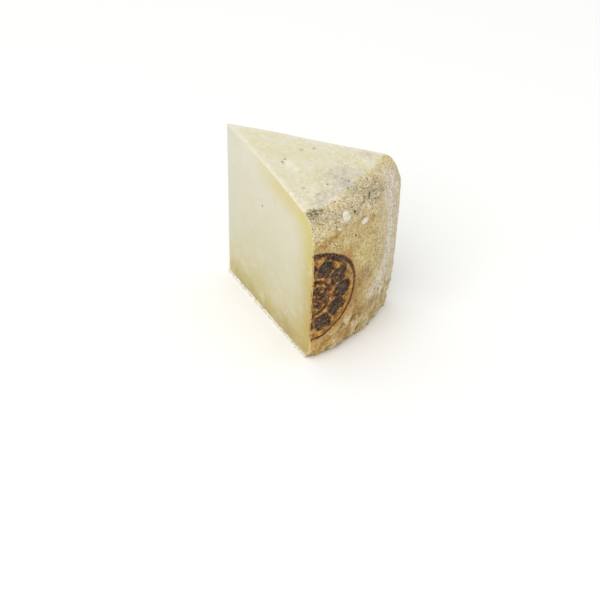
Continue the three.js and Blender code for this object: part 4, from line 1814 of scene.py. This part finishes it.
def salt_material():
    """Hard lumps and grains of salt, whitish and a little see-through."""
    finish = Finish(
        "salt", Subsurface_Weight=0.3, Subsurface_Radius=(1.0, 0.9, 0.8), Subsurface_Scale=1.0 * MM
    )
    tone = finish.drift(1.4, 0.3, 0.7, 3.0)
    colour = finish.between(tone, (226, 219, 204), (206, 196, 172))
    finish.feed(finish.shader, "Base Color", colour)
    finish.grainy(coarse=0.8, fine=0.25, roughness=0.62, swing=0.25, distance=0.15)
    return finish.material


def mould_material():
    """Dry flecks of mould, from olive grey to nearly black."""
    finish = Finish("mould", Specular_IOR_Level=0.2)
    tone = finish.drift(1.1, 0.4, 0.6, 2.0)
    finish.feed(finish.shader, "Base Color", finish.between(tone, (70, 62, 42), (132, 114, 78)))
    finish.grainy(coarse=0.3, fine=0.12, roughness=0.95, swing=0.1, distance=0.06)
    return finish.material


def crumb_material():
    """Bits of rind and brown crust."""
    finish = Finish("rind_crumbs", Specular_IOR_Level=0.3)
    tone = finish.drift(0.9, 0.4, 0.6, 2.0)
    finish.feed(finish.shader, "Base Color", finish.between(tone, (186, 158, 100), (134, 106, 64)))
    finish.grainy(coarse=0.4, fine=0.15, roughness=0.9, swing=0.15, distance=0.08)
    return finish.material


# ---- the pieces -----------------------------------------------------------------------------------------
# Each kind of scattered grain: field, grains for each square metre, smallest and largest radius in
# millimetres, flatness, seed and the slot.

SCATTERED = {
    "mould_flecks": ("mould_share", 1.7e6, 0.12, 0.46, 0.55, 5, "mould_fleck"),
    "salt_grains": ("salt_share", 0.9e6, 0.12, 0.5, 0.7, 9, "salt_grain"),
    "rind_crumbs": ("crumb_share", 1.1e6, 0.12, 0.42, 0.6, 13, "cheese"),
    "lip_flakes": ("thickness", 0.35e6, 0.25, 0.85, 0.6, 21, "cheese"),
}


def add_piece(name, mesh):
    """A finished piece on the part's own body."""
    piece = new_object(name, kept_inside(mesh))
    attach(piece, BODY)
    return piece


def make_pieces():
    """Every piece of the visual model: the body, the lip, the scattered grains and the lumps of salt."""
    paste, rind, lip = paste_material(), rind_material(), lip_material()
    salt = salt_material()
    looks = {
        "mould_flecks": mould_material(),
        "salt_grains": salt,
        "rind_crumbs": crumb_material(),
        "lip_flakes": lip,
    }

    settings = {"Paste Material": paste, "Rind Material": rind}
    body = run_tree("cheese_body", body_mesh(), relief_tree(), settings)
    piece = add_piece("cheese_body", body)
    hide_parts(NODE)

    lip_body = run_tree("rind_lip", lip_mesh(), lip_tree(), {"Material": lip})
    add_piece("rind_lip", lip_body)

    scatter = scatter_tree()
    for name, (field, density, smallest, largest, flatness, seed, slot) in SCATTERED.items():
        settings = {
            "Field": field,
            "Density": density,
            "Smallest": smallest * MM,
            "Largest": largest * MM,
            "Flatness": flatness,
            "Seed": seed,
            "Material": looks[name],
        }
        skin = lip_body if name == "lip_flakes" else body
        add_piece(name, run_tree(name, skin.copy(), scatter, settings))
    add_piece("salt_lumps", salt_lumps(salt))


# ---- camera, floor and light ----------------------------------------------------------------------------

VIEW_AZIMUTH = math.radians(39.85)  # of the camera, round from the front
VIEW_ELEVATION = math.radians(37.14)
VIEW_DISTANCE = 1.4836
VIEW_TARGET = (45.9, 3.7, 0.0)  # millimetres from the foot of the wheel's axis
LENS = 168
SENSOR = 36
FLOOR_SIZE = 6.0


def add_camera():
    data = bpy.data.cameras.new("camera")
    data.lens = LENS
    data.sensor_width = SENSOR
    data.clip_start = 0.01
    data.clip_end = 100
    camera = new_object("camera", data)
    level = math.cos(VIEW_ELEVATION)
    back = Vector((math.sin(VIEW_AZIMUTH) * level, -math.cos(VIEW_AZIMUTH) * level, math.sin(VIEW_ELEVATION)))
    camera.location = (AXIS + Vector(VIEW_TARGET)) * MM + back * VIEW_DISTANCE
    camera.rotation_mode = "QUATERNION"
    camera.rotation_quaternion = (-back).to_track_quat("-Z", "Y")
    bpy.context.scene.camera = camera


def add_floor():
    half = FLOOR_SIZE / 2
    mesh = bpy.data.meshes.new("floor")
    corners = [(-half, -half, 0), (half, -half, 0), (half, half, 0), (-half, half, 0)]
    mesh.from_pydata(corners, [], [(0, 1, 2, 3)])
    material = bpy.data.materials.new("floor")
    material.use_nodes = True
    shader = material.node_tree.nodes["Principled BSDF"]
    shader.inputs["Base Color"].default_value = linear(246, 246, 244)
    shader.inputs["Roughness"].default_value = 0.9
    mesh.materials.append(material)
    new_object("floor", mesh)


def add_light(name, azimuth, elevation, distance, size, power):
    """A large soft lamp that looks at the cheese."""
    data = bpy.data.lights.new(name, "AREA")
    data.size = size
    data.energy = power
    lamp = new_object(name, data)
    turn, rise = math.radians(azimuth), math.radians(elevation)
    back = Vector((math.sin(turn) * math.cos(rise), -math.cos(turn) * math.cos(rise), math.sin(rise)))
    lamp.location = back * distance
    lamp.rotation_euler = back.to_track_quat("Z", "Y").to_euler()


def add_sky(strength):
    world = bpy.data.worlds.new("sky")
    world.use_nodes = True
    world.node_tree.nodes["Background"].inputs["Color"].default_value = (1, 1, 1, 1)
    world.node_tree.nodes["Background"].inputs["Strength"].default_value = strength
    bpy.context.scene.world = world


add_camera()
add_floor()
add_sky(strength=0.85)
add_light("key", azimuth=12, elevation=55, distance=1.6, size=1.2, power=11)
bpy.context.scene.view_settings.view_transform = "Standard"

make_pieces()
